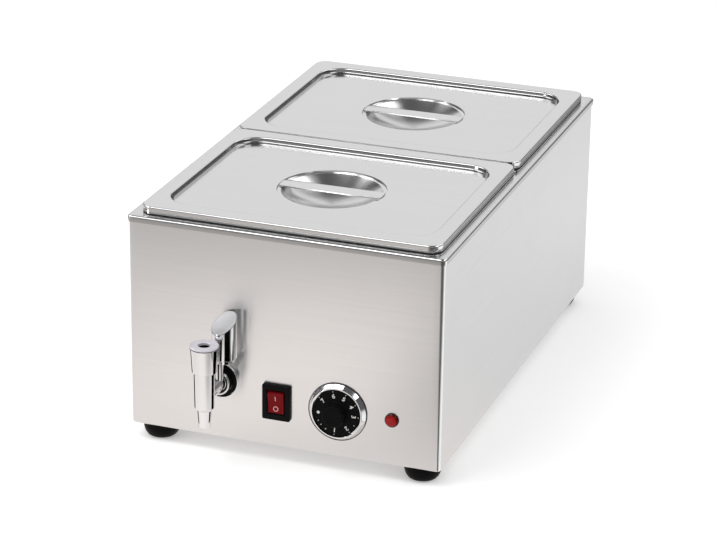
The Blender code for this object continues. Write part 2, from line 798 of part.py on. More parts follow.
def make_back_panel(casing):
    """A flat sheet over the casing's back flanges, with its foot turned in."""
    bm = bmesh.new()
    half = CASE_WIDTH / 2
    rows = (
        (PANEL_BACK_FACE_Y - CASE_FLANGE, CASE_BOTTOM_Z, half - CASE_FLANGE - PLATE_CLEARANCE),
        (PANEL_BACK_FACE_Y, CASE_BOTTOM_Z, half - CASE_FLANGE - PLATE_CLEARANCE),
    )
    low = [bm.verts.new((side * reach, y, z)) for y, z, reach in rows for side in (-1, 1)]
    wide_z = (CASE_BOTTOM_Z, PANEL_TOP_Z)
    wide = [
        bm.verts.new((side * (half - CASE_BEND), PANEL_BACK_FACE_Y, z))
        for z in wide_z
        for side in (-1, 1)
    ]
    bm.faces.new((low[0], low[1], low[3], low[2]))
    bm.faces.new((wide[0], low[2], low[3], wide[1], wide[3], wide[2]))
    bmesh.ops.recalc_face_normals(bm, faces=bm.faces[:])
    back = max(bm.faces, key=lambda face: face.calc_center_median().z)
    if back.normal.y < 0:
        bmesh.ops.reverse_faces(bm, faces=bm.faces[:])
    panel = add_piece("back_panel", bm, steel("back_steel", 0.36))
    thicken(panel, SHEET)
    bm = bmesh.new()
    front = CASE_BACK_Y - SHEET - CUT_OVERRUN
    back = PANEL_BACK_FACE_Y + CUT_OVERRUN
    for x, z in back_screw_places().values():
        rod(bm, M4_HOLE, (x, front, z), (x, back, z), 12)
    screw_holes = helper("back_screw_holes", bm)
    combine(panel, screw_holes, "DIFFERENCE")
    combine(casing, screw_holes, "DIFFERENCE")
    bm = bmesh.new()
    gland_hole = GLAND_THREAD_RADIUS + TAIL_HOLE_CLEARANCE
    rod(bm, gland_hole, (GLAND_X, front, GLAND_Z), (GLAND_X, back, GLAND_Z))
    combine(panel, helper("gland_hole", bm), "DIFFERENCE")


def foot_places():
    x = DECK_WIDTH / 2 - FOOT_FROM_SIDE
    y = DECK_DEPTH / 2 - FOOT_FROM_END
    return {
        "front_left": (-x, -y),
        "front_right": (x, -y),
        "back_left": (-x, y),
        "back_right": (x, y),
    }


def make_bottom_plate():
    """A shallow tray that lies on the casing's bottom flanges, vented and open at the feet's screws."""
    width = CASE_WIDTH - 2 * (CASE_FOLD + PLATE_CLEARANCE)
    front = CASE_FRONT_Y + CASE_FOLD + PLATE_CLEARANCE
    back = CASE_BACK_Y - SHEET - PLATE_CLEARANCE
    centre_y = (front + back) / 2
    length = back - front
    # The outlines follow the tray's inside, and its metal lies below and outside them.
    outlines = []
    for z in (PLATE_BOTTOM_Z + PLATE_EDGE_HEIGHT, PLATE_TOP_Z):
        points = rounded_rectangle(width - 2 * SHEET, length - 2 * SHEET, CASE_BEND, z)
        outlines.append([(x, y + centre_y, z) for x, y, z in points])
    bm = bmesh.new()
    skin(bm, outlines, cap_last=True)
    turn_up(bm)
    plate = add_piece("bottom_plate", bm, steel("plate_steel", 0.45))
    thicken(plate, SHEET)
    low = PLATE_BOTTOM_Z - CUT_OVERRUN
    high = PLATE_TOP_Z + CUT_OVERRUN
    bm = bmesh.new()
    for x, y in foot_places().values():
        rod(bm, FOOT_SCREW_HOLE, (x, y, low), (x, y, high), 12)
    for group in (-1, 1):
        for slot in range(VENT_COUNT):
            y = group * (DECK_DEPTH / 2 - VENT_FROM_END) + (slot - (VENT_COUNT - 1) / 2) * VENT_PITCH
            half = VENT_LENGTH / 2
            box(bm, (-half, y - VENT_WIDTH / 2, low), (half, y + VENT_WIDTH / 2, high))
    combine(plate, helper("plate_holes", bm), "DIFFERENCE")


def make_feet():
    """Moulded rubber feet, tapered, with a sunk screw in each."""
    under_case = CASE_BOTTOM_Z - TOUCH_GAP
    boss_top = PLATE_BOTTOM_Z - TOUCH_GAP
    profile = filleted(
        [
            (FOOT_SCREW_HOLE, boss_top, 0),
            (FOOT_SCREW_HOLE, FOOT_COUNTERBORE_DEPTH, 0),
            (FOOT_COUNTERBORE, FOOT_COUNTERBORE_DEPTH, 0),
            (FOOT_COUNTERBORE, 0, 0),
            (FOOT_BASE_RADIUS, 0, FOOT_BASE_ROUND),
            (FOOT_SHOULDER_RADIUS, under_case * FOOT_SHOULDER_SHARE, 0),
            (FOOT_TOP_RADIUS, under_case * FOOT_FLARE_SHARE, 0),
            (FOOT_TOP_RADIUS, under_case, 0),
            (FOOT_BOSS_RADIUS, under_case, 0),
            (FOOT_BOSS_RADIUS, boss_top, 0),
        ]
    )
    head_top = FOOT_COUNTERBORE_DEPTH - TOUCH_GAP
    head_bottom = head_top - M5_HEAD_HEIGHT
    nut_bottom = PLATE_TOP_Z + TOUCH_GAP
    nut_top = nut_bottom + M5_NUT_HEIGHT
    screw = [
        circle(M5_HEAD_RADIUS, head_bottom, 12),
        circle(M5_HEAD_RADIUS, head_top, 12),
        circle(M5_SHANK, head_top, 12),
        circle(M5_SHANK, nut_bottom, 12),
        hexagon(M5_NUT_RADIUS, nut_bottom),
        hexagon(M5_NUT_RADIUS, nut_top),
        circle(M5_SHANK, nut_top, 12),
        circle(M5_SHANK, nut_top + M5_END, 12),
    ]
    for corner, (x, y) in foot_places().items():
        place = (x, y, 0)
        rubber = black("rubber_" + corner, 0.7)
        turned("foot_" + corner, profile, rubber, FOOT_STEPS, True, location=place)
        lofted("foot_screw_" + corner, screw, steel("screw_" + corner, 0.3), location=place)


def make_back_screws():
    """Pan-head screws that hold the back panel to the casing's flanges."""
    seat = PANEL_BACK_FACE_Y + TOUCH_GAP
    profile = filleted(
        [
            (0, M4_HEAD_HEIGHT, 0),
            (M4_HEAD_RADIUS, M4_HEAD_HEIGHT, M4_HEAD_HEIGHT / 2),
            (M4_HEAD_RADIUS, 0, 0),
            (M4_SHANK, 0, 0),
            (M4_SHANK, -M4_LENGTH, 0),
            (0, -M4_LENGTH, 0),
        ]
    )
    for corner, (x, z) in back_screw_places().items():
        bm = spun(profile, 10)
        face_back(bm)
        surface = steel("back_screw_steel_" + corner)
        add_piece("back_screw_" + corner, bm, surface, (x, seat, z))


def pan_empty(name, sign):
    """The place of one pan and its lid, at the middle of the pan."""
    empty = bpy.data.objects.new(name, None)
    bpy.context.scene.collection.objects.link(empty)
    empty.parent = frame
    empty.location = (0, sign * PAN_CENTRE_Y, 0)
    return empty


def make_pan(name, empty):
    """A deep-drawn pan with a turned-down rim, a drafted wall and wide corners."""
    profile = filleted(
        [
            (0, PAN_RIM_TOP_Z - PAN_RIM_HEIGHT, 0),
            (0, PAN_RIM_TOP_Z, PAN_RIM_ROUND),
            (PAN_FLANGE, PAN_RIM_TOP_Z, PAN_MOUTH_ROUND),
            (PAN_FLANGE + PAN_TAPER, PAN_RIM_TOP_Z - PAN_DEPTH, PAN_FOOT_ROUND),
            (PAN_FLANGE + PAN_TAPER + PAN_FOOT_ROUND, PAN_RIM_TOP_Z - PAN_DEPTH, 0),
        ]
    )
    outlines = []
    for across, z in profile:
        share = min(across / PAN_FLANGE, 1)
        past = max(across - PAN_FLANGE, 0)
        corner = blended(PAN_RIM_CORNER, PAN_BODY_CORNER, share) - past * PAN_CORNER_SHARE
        outlines.append(
            rounded_rectangle(PAN_WIDTH - 2 * across, PAN_LENGTH - 2 * across, corner, z)
        )
    pressed_sheet(name, outlines, PAN_SHEET, steel(name + "_steel", 0.25), parent=empty)


def make_lid(name, empty):
    """A lid with a sunk panel and a round dish in its middle for the fingers, with a ledge round it."""
    profile = filleted(
        [
            (0, LID_EDGE_Z, 0),
            (0, LID_TOP_Z, LID_RIM_ROUND),
            (LID_BORDER_SIDE, LID_TOP_Z, 0),
        ]
    )[:-1]
    outlines = []
    for across, z in profile:
        outlines.append(
            rounded_rectangle(
                LID_WIDTH - 2 * across,
                LID_LENGTH - 2 * across,
                LID_RIM_CORNER - across,
                z,
                LID_CORNER_STEPS,
            )
        )
    step = filleted(
        [
            (-LID_PANEL_ROUND * 2, LID_TOP_Z, 0),
            (0, LID_TOP_Z, LID_PANEL_ROUND),
            (LID_PANEL_SLOPE, LID_PANEL_Z, LID_PANEL_ROUND),
            (LID_PANEL_SLOPE + LID_PANEL_ROUND * 2, LID_PANEL_Z, 0),
        ],
        1,
    )[1:]
    for across, z in step:
        outlines.append(
            rounded_rectangle(
                LID_WIDTH - 2 * (LID_BORDER_SIDE + across),
                LID_LENGTH - 2 * (LID_BORDER_END + across),
                LID_PANEL_CORNER - across,
                z,
                LID_CORNER_STEPS,
            )
        )
    ledge_outer = DISH_RADIUS + DISH_LEDGE_WIDTH / 2
    ledge_inner = DISH_RADIUS - DISH_LEDGE_WIDTH / 2
    floor_radius = ledge_inner - DISH_WALL_SLOPE
    dish = filleted(
        [
            (ledge_inner, LID_LEDGE_Z, 0),
            (floor_radius, LID_PANEL_Z - DISH_DEPTH, DISH_FLOOR_ROUND),
            (floor_radius * DISH_MIDDLE_SHARE, LID_PANEL_Z - DISH_DEPTH, 0),
        ]
    )
    steps = 4 * (LID_CORNER_STEPS + 1)
    outlines.append(circle(ledge_outer, LID_PANEL_Z, steps, LID_CORNER_START_SHARE))
    outlines.append(circle(ledge_outer - DISH_LEDGE_SLOPE, LID_LEDGE_Z, steps, LID_CORNER_START_SHARE))
    outlines += [circle(radius, z, steps, LID_CORNER_START_SHARE) for radius, z in dish]
    pressed_sheet(name, outlines, LID_SHEET, steel(name + "_steel", 0.3), parent=empty)


def make_lid_grip(name, empty):
    """A flat strap across the dish, its round ends lying on the ledge inside the ledge's wall."""
    reach = DISH_RADIUS + DISH_LEDGE_WIDTH / 2 - DISH_LEDGE_SLOPE - GRIP_END_CLEARANCE
    top = LID_LEDGE_Z + TOUCH_GAP + GRIP_SHEET
    bm = bmesh.new()
    rows = []
    for step in range(GRIP_END_STEPS + 1):
        y = (step / GRIP_END_STEPS - 0.5) * GRIP_WIDTH
        x = math.sqrt(reach**2 - y**2)
        rows.append([bm.verts.new((-x, y, top)), bm.verts.new((x, y, top))])
    for near, far in zip(rows, rows[1:]):
        bm.faces.new((near[0], near[1], far[1], far[0]))
    turn_up(bm)
    grip = add_piece(name, bm, steel(name + "_polish", 0.12), parent=empty)
    thicken(grip, GRIP_SHEET)
    bevelled(grip, GRIP_EDGE_ROUND, 1)


def make_support_bar():
    """A channel across the middle of the well, flush with the deck, and the angles it sits on."""
    half = WELL_WIDTH / 2 - BAR_END_CLEARANCE
    wide = BAR_WIDTH / 2
    bm = bmesh.new()
    rows = []
    foot = DECK_TOP_Z - BAR_DROP
    for y, z in ((-wide, foot), (-wide, DECK_TOP_Z), (wide, DECK_TOP_Z), (wide, foot)):
        rows.append([bm.verts.new((x, y, z)) for x in (-half, half)])
    for near, far in zip(rows, rows[1:]):
        bm.faces.new((near[0], near[1], far[1], far[0]))
    thickened_strip("pan_support_bar", bm, BAR_SHEET, "bar_steel")
    slim = wide - BAR_SHEET - PLATE_CLEARANCE
    wall = WELL_WIDTH / 2 - WELL_MOUTH_ROUND + BRACKET_WALL_GAP
    top = DECK_TOP_Z - BAR_SHEET - TOUCH_GAP
    for name, side in (("bar_bracket_left", -1), ("bar_bracket_right", 1)):
        bm = bmesh.new()
        rows = []
        for x, z in ((wall - BRACKET_REACH, top), (wall, top), (wall, top - BRACKET_DROP)):
            rows.append([bm.verts.new((side * x, y, z)) for y in (-slim, slim)])
        for near, far in zip(rows, rows[1:]):
            bm.faces.new((near[0], near[1], far[1], far[0]))
        thickened_strip(name, bm, BAR_SHEET, name + "_steel")


def thickened_strip(name, bm, thickness, surface_name, parent=None):
    """A bent strip from its upper side, with its metal below."""
    turn_up(bm)
    strip = add_piece(name, bm, steel(surface_name), parent=parent)
    thicken(strip, thickness)
    return strip


def panel_face(x, z):
    """A point on the outside of the front panel."""
    return (x, CASE_FRONT_Y, z)


def make_switch():
    """A rocker switch: a bezelled housing with spade terminals, and the rocker in its pocket."""
    half_width = SWITCH_BEZEL_WIDTH / 2
    half_height = SWITCH_BEZEL_HEIGHT / 2
    seat = -TOUCH_GAP
    front = -SWITCH_BEZEL_DEPTH
    back = SWITCH_BODY_DEPTH
    chamfer = SWITCH_BEZEL_CHAMFER

    def section(wide, high, y):
        corners = ((-1, -1), (1, -1), (1, 1), (-1, 1))
        return [(sx * wide, y, sz * high) for sx, sz in corners]

    body_wide = SWITCH_BODY_WIDTH / 2
    body_high = SWITCH_BODY_HEIGHT / 2
    outlines = [
        section(half_width - chamfer, half_height - chamfer, front),
        section(half_width, half_height, front + chamfer),
        section(half_width, half_height, seat),
        section(body_wide, body_high, seat),
        section(body_wide, body_high, back),
    ]
    place = panel_face(SWITCH_X, CONTROL_Z)
    housing = lofted("switch_housing", outlines, black("switch_plastic", 0.35), location=place)
    bm = bmesh.new()
    pocket_wide = ROCKER_WIDTH / 2 + ROCKER_CLEARANCE
    pocket_high = ROCKER_RADIUS + ROCKER_CLEARANCE
    box(
        bm,
        (-pocket_wide, front - CUT_OVERRUN, -pocket_high),
        (pocket_wide, SWITCH_POCKET_DEPTH, pocket_high),
    )
    pocket = helper("rocker_pocket", bm)
    pocket.location = place
    combine(housing, pocket, "DIFFERENCE")
    bm = bmesh.new()
    for side_x in (-1, 1):
        for side_z in (-1, 1):
            x = side_x * BLADE_SPACING_X / 2
            z = side_z * BLADE_SPACING_Z / 2
            box(
                bm,
                (x - BLADE_WIDTH / 2, back - CUT_OVERRUN, z - BLADE_SHEET / 2),
                (x + BLADE_WIDTH / 2, back + BLADE_LENGTH, z + BLADE_SHEET / 2),
            )
    blades = helper("switch_blades", bm)
    blades.location = place
    combine(housing, blades, "UNION")
    make_rocker()


def make_rocker():
    """The rocker, dished on its face, turning on a pin across the housing. Its lower end is pressed in."""
    tip_angle = math.asin(ROCKER_TIP / ROCKER_RADIUS)
    heel_angle = -math.asin(ROCKER_HEEL / ROCKER_RADIUS)
    profile = []
    for side in (1, -1):
        for step in range(ROCKER_SIDE_STEPS + 1):
            angle = blended(tip_angle, heel_angle, step / ROCKER_SIDE_STEPS)
            forward = ROCKER_RADIUS * math.sin(angle)
            upward = side * ROCKER_RADIUS * math.cos(angle)
            profile.append((forward, upward))
    upper = profile[: ROCKER_SIDE_STEPS + 1]
    lower = profile[ROCKER_SIDE_STEPS + 1 :]
    dish = [(ROCKER_CREST, share * ROCKER_RADIUS) for share in ROCKER_DISH_SHARES]
    outline = dish + upper + lower[::-1]
    bm = bmesh.new()
    face = bm.faces.new(
        [bm.verts.new((-ROCKER_WIDTH / 2, -forward, upward)) for forward, upward in outline]
    )
    grown = bmesh.ops.extrude_face_region(bm, geom=[face])["geom"]
    verts = [item for item in grown if isinstance(item, bmesh.types.BMVert)]
    bmesh.ops.translate(bm, verts=verts, vec=(ROCKER_WIDTH, 0, 0))
    bmesh.ops.recalc_face_normals(bm, faces=bm.faces[:])
    x, y, z = panel_face(SWITCH_X, CONTROL_Z)
    surface = material("rocker_red", (0.17, 0.012, 0.014), 0.35, 0.0)
    rocker = add_piece("switch_rocker", bm, surface, (x, y + ROCKER_PIVOT_DEPTH, z))
    rocker.rotation_euler = (ROCKER_TILT, 0, 0)


def make_dial():
    """A fixed chrome ring, and the numbered knob that turns inside it on the thermostat's shaft."""
    place = panel_face(DIAL_X, CONTROL_Z)
    ring = filleted(
        [
            (DIAL_FLOOR_HOLE, TOUCH_GAP + DIAL_FLOOR, 0),
            (DIAL_BORE_RADIUS, TOUCH_GAP + DIAL_FLOOR, 0),
            (DIAL_BORE_RADIUS, DIAL_RING_DEPTH, 0),
            (DIAL_FRONT_RADIUS, DIAL_RING_DEPTH, DIAL_RING_ROUND / 2),
            (DIAL_BASE_RADIUS, TOUCH_GAP + DIAL_RING_ROUND, DIAL_RING_ROUND / 2),
            (DIAL_BASE_RADIUS, TOUCH_GAP, 0),
            (DIAL_FLOOR_HOLE, TOUCH_GAP, 0),
        ]
    )
    turned("dial_bezel", ring, chrome("bezel_chrome"), ROUND_STEPS, True, True, location=place)
    knob_profile = filleted(
        [
            (SHAFT_RADIUS + TOUCH_GAP, KNOB_FACE_BACK, 0),
            (KNOB_FACE_RADIUS, KNOB_FACE_BACK, 0),
            (KNOB_FACE_RADIUS, KNOB_FACE_FRONT, KNOB_FACE_ROUND),
            (KNOB_GRIP_RADIUS + KNOB_GRIP_FOOT, KNOB_FACE_FRONT, 0),
            (KNOB_GRIP_RADIUS, KNOB_FACE_FRONT + KNOB_GRIP_FOOT, 0),
            (KNOB_GRIP_RADIUS - KNOB_GRIP_TAPER, KNOB_GRIP_FRONT, KNOB_GRIP_ROUND),
            (0, KNOB_GRIP_FRONT, 0),
            (0, SHAFT_FRONT + TOUCH_GAP, 0),
            (SHAFT_RADIUS + TOUCH_GAP, SHAFT_FRONT + TOUCH_GAP, 0),
        ]
    )
    knob_surface = black("knob_plastic", 0.4)
    turned("dial_knob", knob_profile, knob_surface, ROUND_STEPS, True, True, location=place)
    back = -(SHEET + STAT_SHAFT_POCKET - TOUCH_GAP)
    shaft = [
        (0, SHAFT_FRONT),
        (SHAFT_RADIUS, SHAFT_FRONT),
        (SHAFT_RADIUS, back),
        (0, back),
    ]
    turned("thermostat_shaft", shaft, steel("shaft_steel", 0.25), 16, front=True, location=place)


def make_thermostat():
    """The capillary thermostat behind the panel: a case with a bush for its shaft and two spades."""
    case_front = SHEET + TOUCH_GAP
    half = STAT_WIDTH / 2
    bm = bmesh.new()
    box(bm, (-half, case_front, -half), (half, case_front + STAT_DEPTH, half))
    place = panel_face(DIAL_X, CONTROL_Z)
    surface = material("thermostat_case", (0.72, 0.68, 0.60), 0.5, 0.0)
    body = add_piece("thermostat_body", bm, surface, place)
    bevelled(body, STAT_EDGE, 1)
    bm = bmesh.new()
    rod(bm, STAT_BUSH_RADIUS, (0, TOUCH_GAP, 0), (0, case_front + CUT_OVERRUN, 0))
    for side in (-1, 1):
        x = side * BLADE_SPACING_X
        y = case_front + STAT_DEPTH
        box(
            bm,
            (x - BLADE_WIDTH / 2, y - CUT_OVERRUN, -half / 2),
            (x + BLADE_WIDTH / 2, y + BLADE_LENGTH, -half / 2 + BLADE_SHEET),
        )
    extras = helper("thermostat_bush_and_spades", bm)
    extras.location = place
    combine(body, extras, "UNION")
    bm = bmesh.new()
    bore = SHAFT_RADIUS + TOUCH_GAP
    rod(bm, bore, (0, -CUT_OVERRUN, 0), (0, SHEET + STAT_SHAFT_POCKET, 0))
    bore_shape = helper("thermostat_bore", bm)
    bore_shape.location = place
    combine(body, bore_shape, "DIFFERENCE")


def make_pilot_lamp():
    """A red domed lens on a flanged body that a nut holds behind the panel."""
    place = panel_face(LAMP_X, CONTROL_Z)
    flange_front = TOUCH_GAP + LAMP_FLANGE_HEIGHT
    dome_base = flange_front + TOUCH_GAP
    dome = [(0, dome_base)]
    for step in range(LAMP_LENS_STEPS):
        angle = math.pi / 2 * step / LAMP_LENS_STEPS
        radius = LAMP_LENS_RADIUS * math.cos(angle) ** LAMP_DOME_FULLNESS
        dome.append((radius, dome_base + LAMP_LENS_HEIGHT * math.sin(angle)))
    dome.append((0, dome_base + LAMP_LENS_HEIGHT))
    red = material("lens_red", (0.42, 0.01, 0.012), 0.12, 0.0)
    turned("pilot_lamp_lens", dome, red, 24, front=True, location=place)
    barrel_end = -(SHEET + LAMP_BARREL_LENGTH)
    body = [
        (0, flange_front),
        (LAMP_FLANGE_RADIUS, flange_front),
        (LAMP_FLANGE_RADIUS, TOUCH_GAP),
        (LAMP_BARREL_RADIUS, TOUCH_GAP),
        (LAMP_BARREL_RADIUS, barrel_end),
        (0, barrel_end),
    ]
    lamp = turned("pilot_lamp_body", body, black("lamp_plastic", 0.4), 16, front=True, location=place)
    bm = bmesh.new()
    for side in (-1, 1):
        x = side * LAMP_PIN_SPACING / 2
        start = (x, -barrel_end - CUT_OVERRUN, 0)
        rod(bm, LAMP_PIN_RADIUS, start, (x, -barrel_end + LAMP_PIN_LENGTH, 0), 6)
    pins = helper("lamp_pins", bm)
    pins.location = place
    combine(lamp, pins, "UNION")
    inner = LAMP_BARREL_RADIUS + TOUCH_GAP
    seat = -(SHEET + TOUCH_GAP)
    nut_outlines = [
        circle(inner, seat, 12),
        hexagon(LAMP_NUT_RADIUS, seat),
        hexagon(LAMP_NUT_RADIUS, seat - LAMP_NUT_HEIGHT),
        circle(inner, seat - LAMP_NUT_HEIGHT, 12),
    ]
    ring_nut("pilot_lamp_nut", nut_outlines, black("lamp_nut_plastic", 0.5), place)


def ring_nut(name, outlines, surface, place):
    """A nut whose outlines close on themselves, so that its bore is open."""
    bm = closed_skin(outlines)
    face_front(bm)
    return add_piece(name, bm, surface, place)


def make_tap():
    """The drain tap: wall ring, valve body with spout and bonnet, sleeve, cap, spindle and handle."""
    place = panel_face(TAP_X, TAP_Z)
    clear = CHAMBER_RADIUS + TOUCH_GAP
    ring = filleted(
        [
            (clear, TOUCH_GAP, 0),
            (clear, TOUCH_GAP + ESCUTCHEON_FLOOR, 0),
            (ESCUTCHEON_RADIUS - ESCUTCHEON_RIM, TOUCH_GAP + ESCUTCHEON_FLOOR, 0),
            (ESCUTCHEON_RADIUS - ESCUTCHEON_RIM, ESCUTCHEON_DEPTH, 0),
            (ESCUTCHEON_RADIUS, ESCUTCHEON_DEPTH, ESCUTCHEON_RIM / 3),
            (ESCUTCHEON_RADIUS, TOUCH_GAP, 0),
        ]
    )
    turned("tap_wall_ring", ring, chrome("wall_ring_chrome"), 24, True, True, location=place)
    gasket_back = 2 * TOUCH_GAP + ESCUTCHEON_FLOOR
    gasket_radius = ESCUTCHEON_RADIUS - ESCUTCHEON_RIM - TOUCH_GAP
    gasket = [
        (clear, gasket_back),
        (gasket_radius, gasket_back),
        (gasket_radius, GASKET_FRONT),
        (clear, GASKET_FRONT),
    ]
    turned("tap_gasket", gasket[::-1], black("gasket_rubber", 0.6), 24, True, True, location=place)
    make_tap_body(place)
    make_spout_sleeve(place)
    make_tap_handle(place)
    inner = TAIL_RADIUS + TOUCH_GAP
    seat = -(SHEET + TOUCH_GAP)
    outlines = [
        circle(inner, seat, 12),
        hexagon(BACKNUT_RADIUS, seat),
        hexagon(BACKNUT_RADIUS, seat - BACKNUT_HEIGHT),
        circle(inner, seat - BACKNUT_HEIGHT, 12),
    ]
    brass = material("backnut_brass", (0.62, 0.46, 0.20), 0.35, 1.0)
    ring_nut("tap_backnut", outlines, brass, place)


def make_tap_body(place):
    """Valve chamber, barrel, upright spout and bonnet in one casting, bored through for the water."""
    barrel_end = TAP_REACH - SPOUT_RADIUS / 4
    chamber = filleted(
        [
            (0, -SHEET - TAIL_LENGTH, 0),
            (TAIL_RADIUS, -SHEET - TAIL_LENGTH, 0),
            (TAIL_RADIUS, TOUCH_GAP, 0),
            (CHAMBER_RADIUS, TOUCH_GAP, 0),
            (CHAMBER_RADIUS, CHAMBER_FRONT, CHAMBER_RIM / 2),
            (CHAMBER_RADIUS - CHAMBER_RIM, CHAMBER_FRONT, 0),
            (CHAMBER_RADIUS - CHAMBER_RIM, CHAMBER_FRONT - CHAMBER_DISH, 0),
            (BARREL_RADIUS, CHAMBER_FRONT - CHAMBER_DISH, 0),
            (BARREL_RADIUS, barrel_end, 0),
            (0, barrel_end, 0),
        ]
    )
    body = turned("tap_body", chamber, chrome("tap_chrome"), 20, front=True, location=place)
    foot = SPOUT_SHOULDER_Z - TAP_Z
    top = SPOUT_TOP_Z - TAP_Z
    neck = SLEEVE_BOTTOM_Z - TAP_Z
    spout = filleted(
        [
            (0, NOZZLE_TIP_Z - TAP_Z, 0),
            (NOZZLE_TIP_RADIUS, NOZZLE_TIP_Z - TAP_Z, 0),
            (NOZZLE_TOP_RADIUS, foot - SPOUT_CHAMFER, 0),
            (SPOUT_FOOT_RADIUS, foot, 0),
            (SPOUT_RADIUS, neck - TOUCH_GAP, 0),
            (SLEEVE_NECK_RADIUS, neck - TOUCH_GAP, 0),
            (SLEEVE_NECK_RADIUS, top, 0),
            (0, top, 0),
        ]
    )
    spout_shape = helper("spout_shape", spun(spout, 24))
    spout_shape.location = Vector(place) + Vector((0, -TAP_REACH, 0))
    combine(body, spout_shape, "UNION", "MANIFOLD")
    bonnet_low = BONNET_BOTTOM_Z - TAP_Z
    bonnet_high = BONNET_TOP_Z - TAP_Z
    bm = bmesh.new()
    rod(bm, BONNET_RADIUS, (0, 0, bonnet_low), (0, 0, bonnet_high), 20)
    bonnet = helper("bonnet_shape", bm)
    bonnet.location = Vector(place) + Vector((HANDLE_X_OFFSET, -HANDLE_REACH, 0))
    combine(body, bonnet, "UNION", "MANIFOLD")
    bore_end = TAP_REACH + NOZZLE_BORE / 4
    bm = bmesh.new()
    rod(bm, TAIL_BORE, (0, SHEET + TAIL_LENGTH + CUT_OVERRUN, 0), (0, -bore_end, 0), 12)
    water_way = helper("tail_bore_shape", bm)
    water_way.location = place
    combine(body, water_way, "DIFFERENCE", "MANIFOLD")
    bm = bmesh.new()
    tip = NOZZLE_TIP_Z - TAP_Z - CUT_OVERRUN
    rod(bm, NOZZLE_BORE, (0, 0, tip), (0, 0, BARREL_RADIUS / 2), 12)
    drop = helper("nozzle_bore_shape", bm)
    drop.location = Vector(place) + Vector((0, -TAP_REACH, 0))
    combine(body, drop, "DIFFERENCE", "MANIFOLD")
    bm = bmesh.new()
    fit = SPINDLE_RADIUS + SPINDLE_FIT
    rod(bm, fit, (0, 0, bonnet_high - SPINDLE_POCKET), (0, 0, bonnet_high + CUT_OVERRUN), 12)
    pocket = helper("spindle_pocket_shape", bm)
    pocket.location = bonnet.location
    combine(body, pocket, "DIFFERENCE", "MANIFOLD")


def make_spout_sleeve(place):
    """The tapered sleeve round the spout's head, and the open cap on top of it."""
    axis = Vector(place) + Vector((0, -TAP_REACH, -TAP_Z))
    inner = SLEEVE_NECK_RADIUS + TOUCH_GAP
    cap_seat = SLEEVE_TOP_Z
    sleeve = [
        (inner, SLEEVE_BOTTOM_Z),
        (SLEEVE_BOTTOM_RADIUS, SLEEVE_BOTTOM_Z),
        (SLEEVE_TOP_RADIUS, cap_seat),
        (inner, cap_seat),
    ]
    turned("tap_sleeve", sleeve, chrome("sleeve_chrome"), 24, True, location=axis)
    low = cap_seat + TOUCH_GAP
    cap = filleted(
        [
            (CAP_HOLE_RADIUS, low, 0),
            (CAP_RADIUS, low, 0),
            (CAP_RADIUS, CAP_TOP_Z, CAP_EDGE_ROUND),
            (CAP_HOLE_RADIUS, CAP_TOP_Z, 0),
        ]
    )
    turned("tap_cap", cap, chrome("cap_chrome"), 24, True, location=axis)


def make_tap_handle(place):
    """An upright round handle, cut off aslant for the thumb, on a spindle in the bonnet."""
    axis = Vector(place) + Vector((HANDLE_X_OFFSET, -HANDLE_REACH, -TAP_Z))
    bottom = HANDLE_BOTTOM_Z
    slope_x = HANDLE_CUT_SLOPE * math.cos(HANDLE_CUT_TURN)
    slope_y = HANDLE_CUT_SLOPE * math.sin(HANDLE_CUT_TURN)

    def cut(radius, drop=0):
        points = circle(radius, 0)
        return [(x, y, HANDLE_CUT_Z - drop + slope_x * x + slope_y * y) for x, y, _ in points]

    outlines = [
        circle(HANDLE_RADIUS - HANDLE_EDGE, bottom),
        circle(HANDLE_RADIUS, bottom + HANDLE_EDGE),
        cut(HANDLE_RADIUS, HANDLE_EDGE),
        cut(HANDLE_RADIUS - HANDLE_EDGE),
    ]
    handle = lofted("tap_handle", outlines, chrome("handle_chrome"), location=axis)
    bm = bmesh.new()
    socket = SPINDLE_RADIUS + TOUCH_GAP
    rod(bm, socket, (0, 0, bottom - CUT_OVERRUN), (0, 0, bottom + SPINDLE_POCKET), 12)
    socket_shape = helper("handle_socket_shape", bm)
    socket_shape.location = axis
    combine(handle, socket_shape, "DIFFERENCE")
    low = BONNET_TOP_Z - SPINDLE_POCKET + TOUCH_GAP
    high = bottom + SPINDLE_POCKET - TOUCH_GAP
    collar_low = BONNET_TOP_Z + TOUCH_GAP
    collar_high = bottom - TOUCH_GAP
    spindle = [
        (0, low),
        (SPINDLE_RADIUS, low),
        (SPINDLE_RADIUS, collar_low),
        (SPINDLE_COLLAR_RADIUS, collar_low),
        (SPINDLE_COLLAR_RADIUS, collar_high),
        (SPINDLE_RADIUS, collar_high),
        (SPINDLE_RADIUS, high),
        (0, high),
    ]
    turned("tap_spindle", spindle, steel("spindle_steel", 0.3), 12, location=axis)


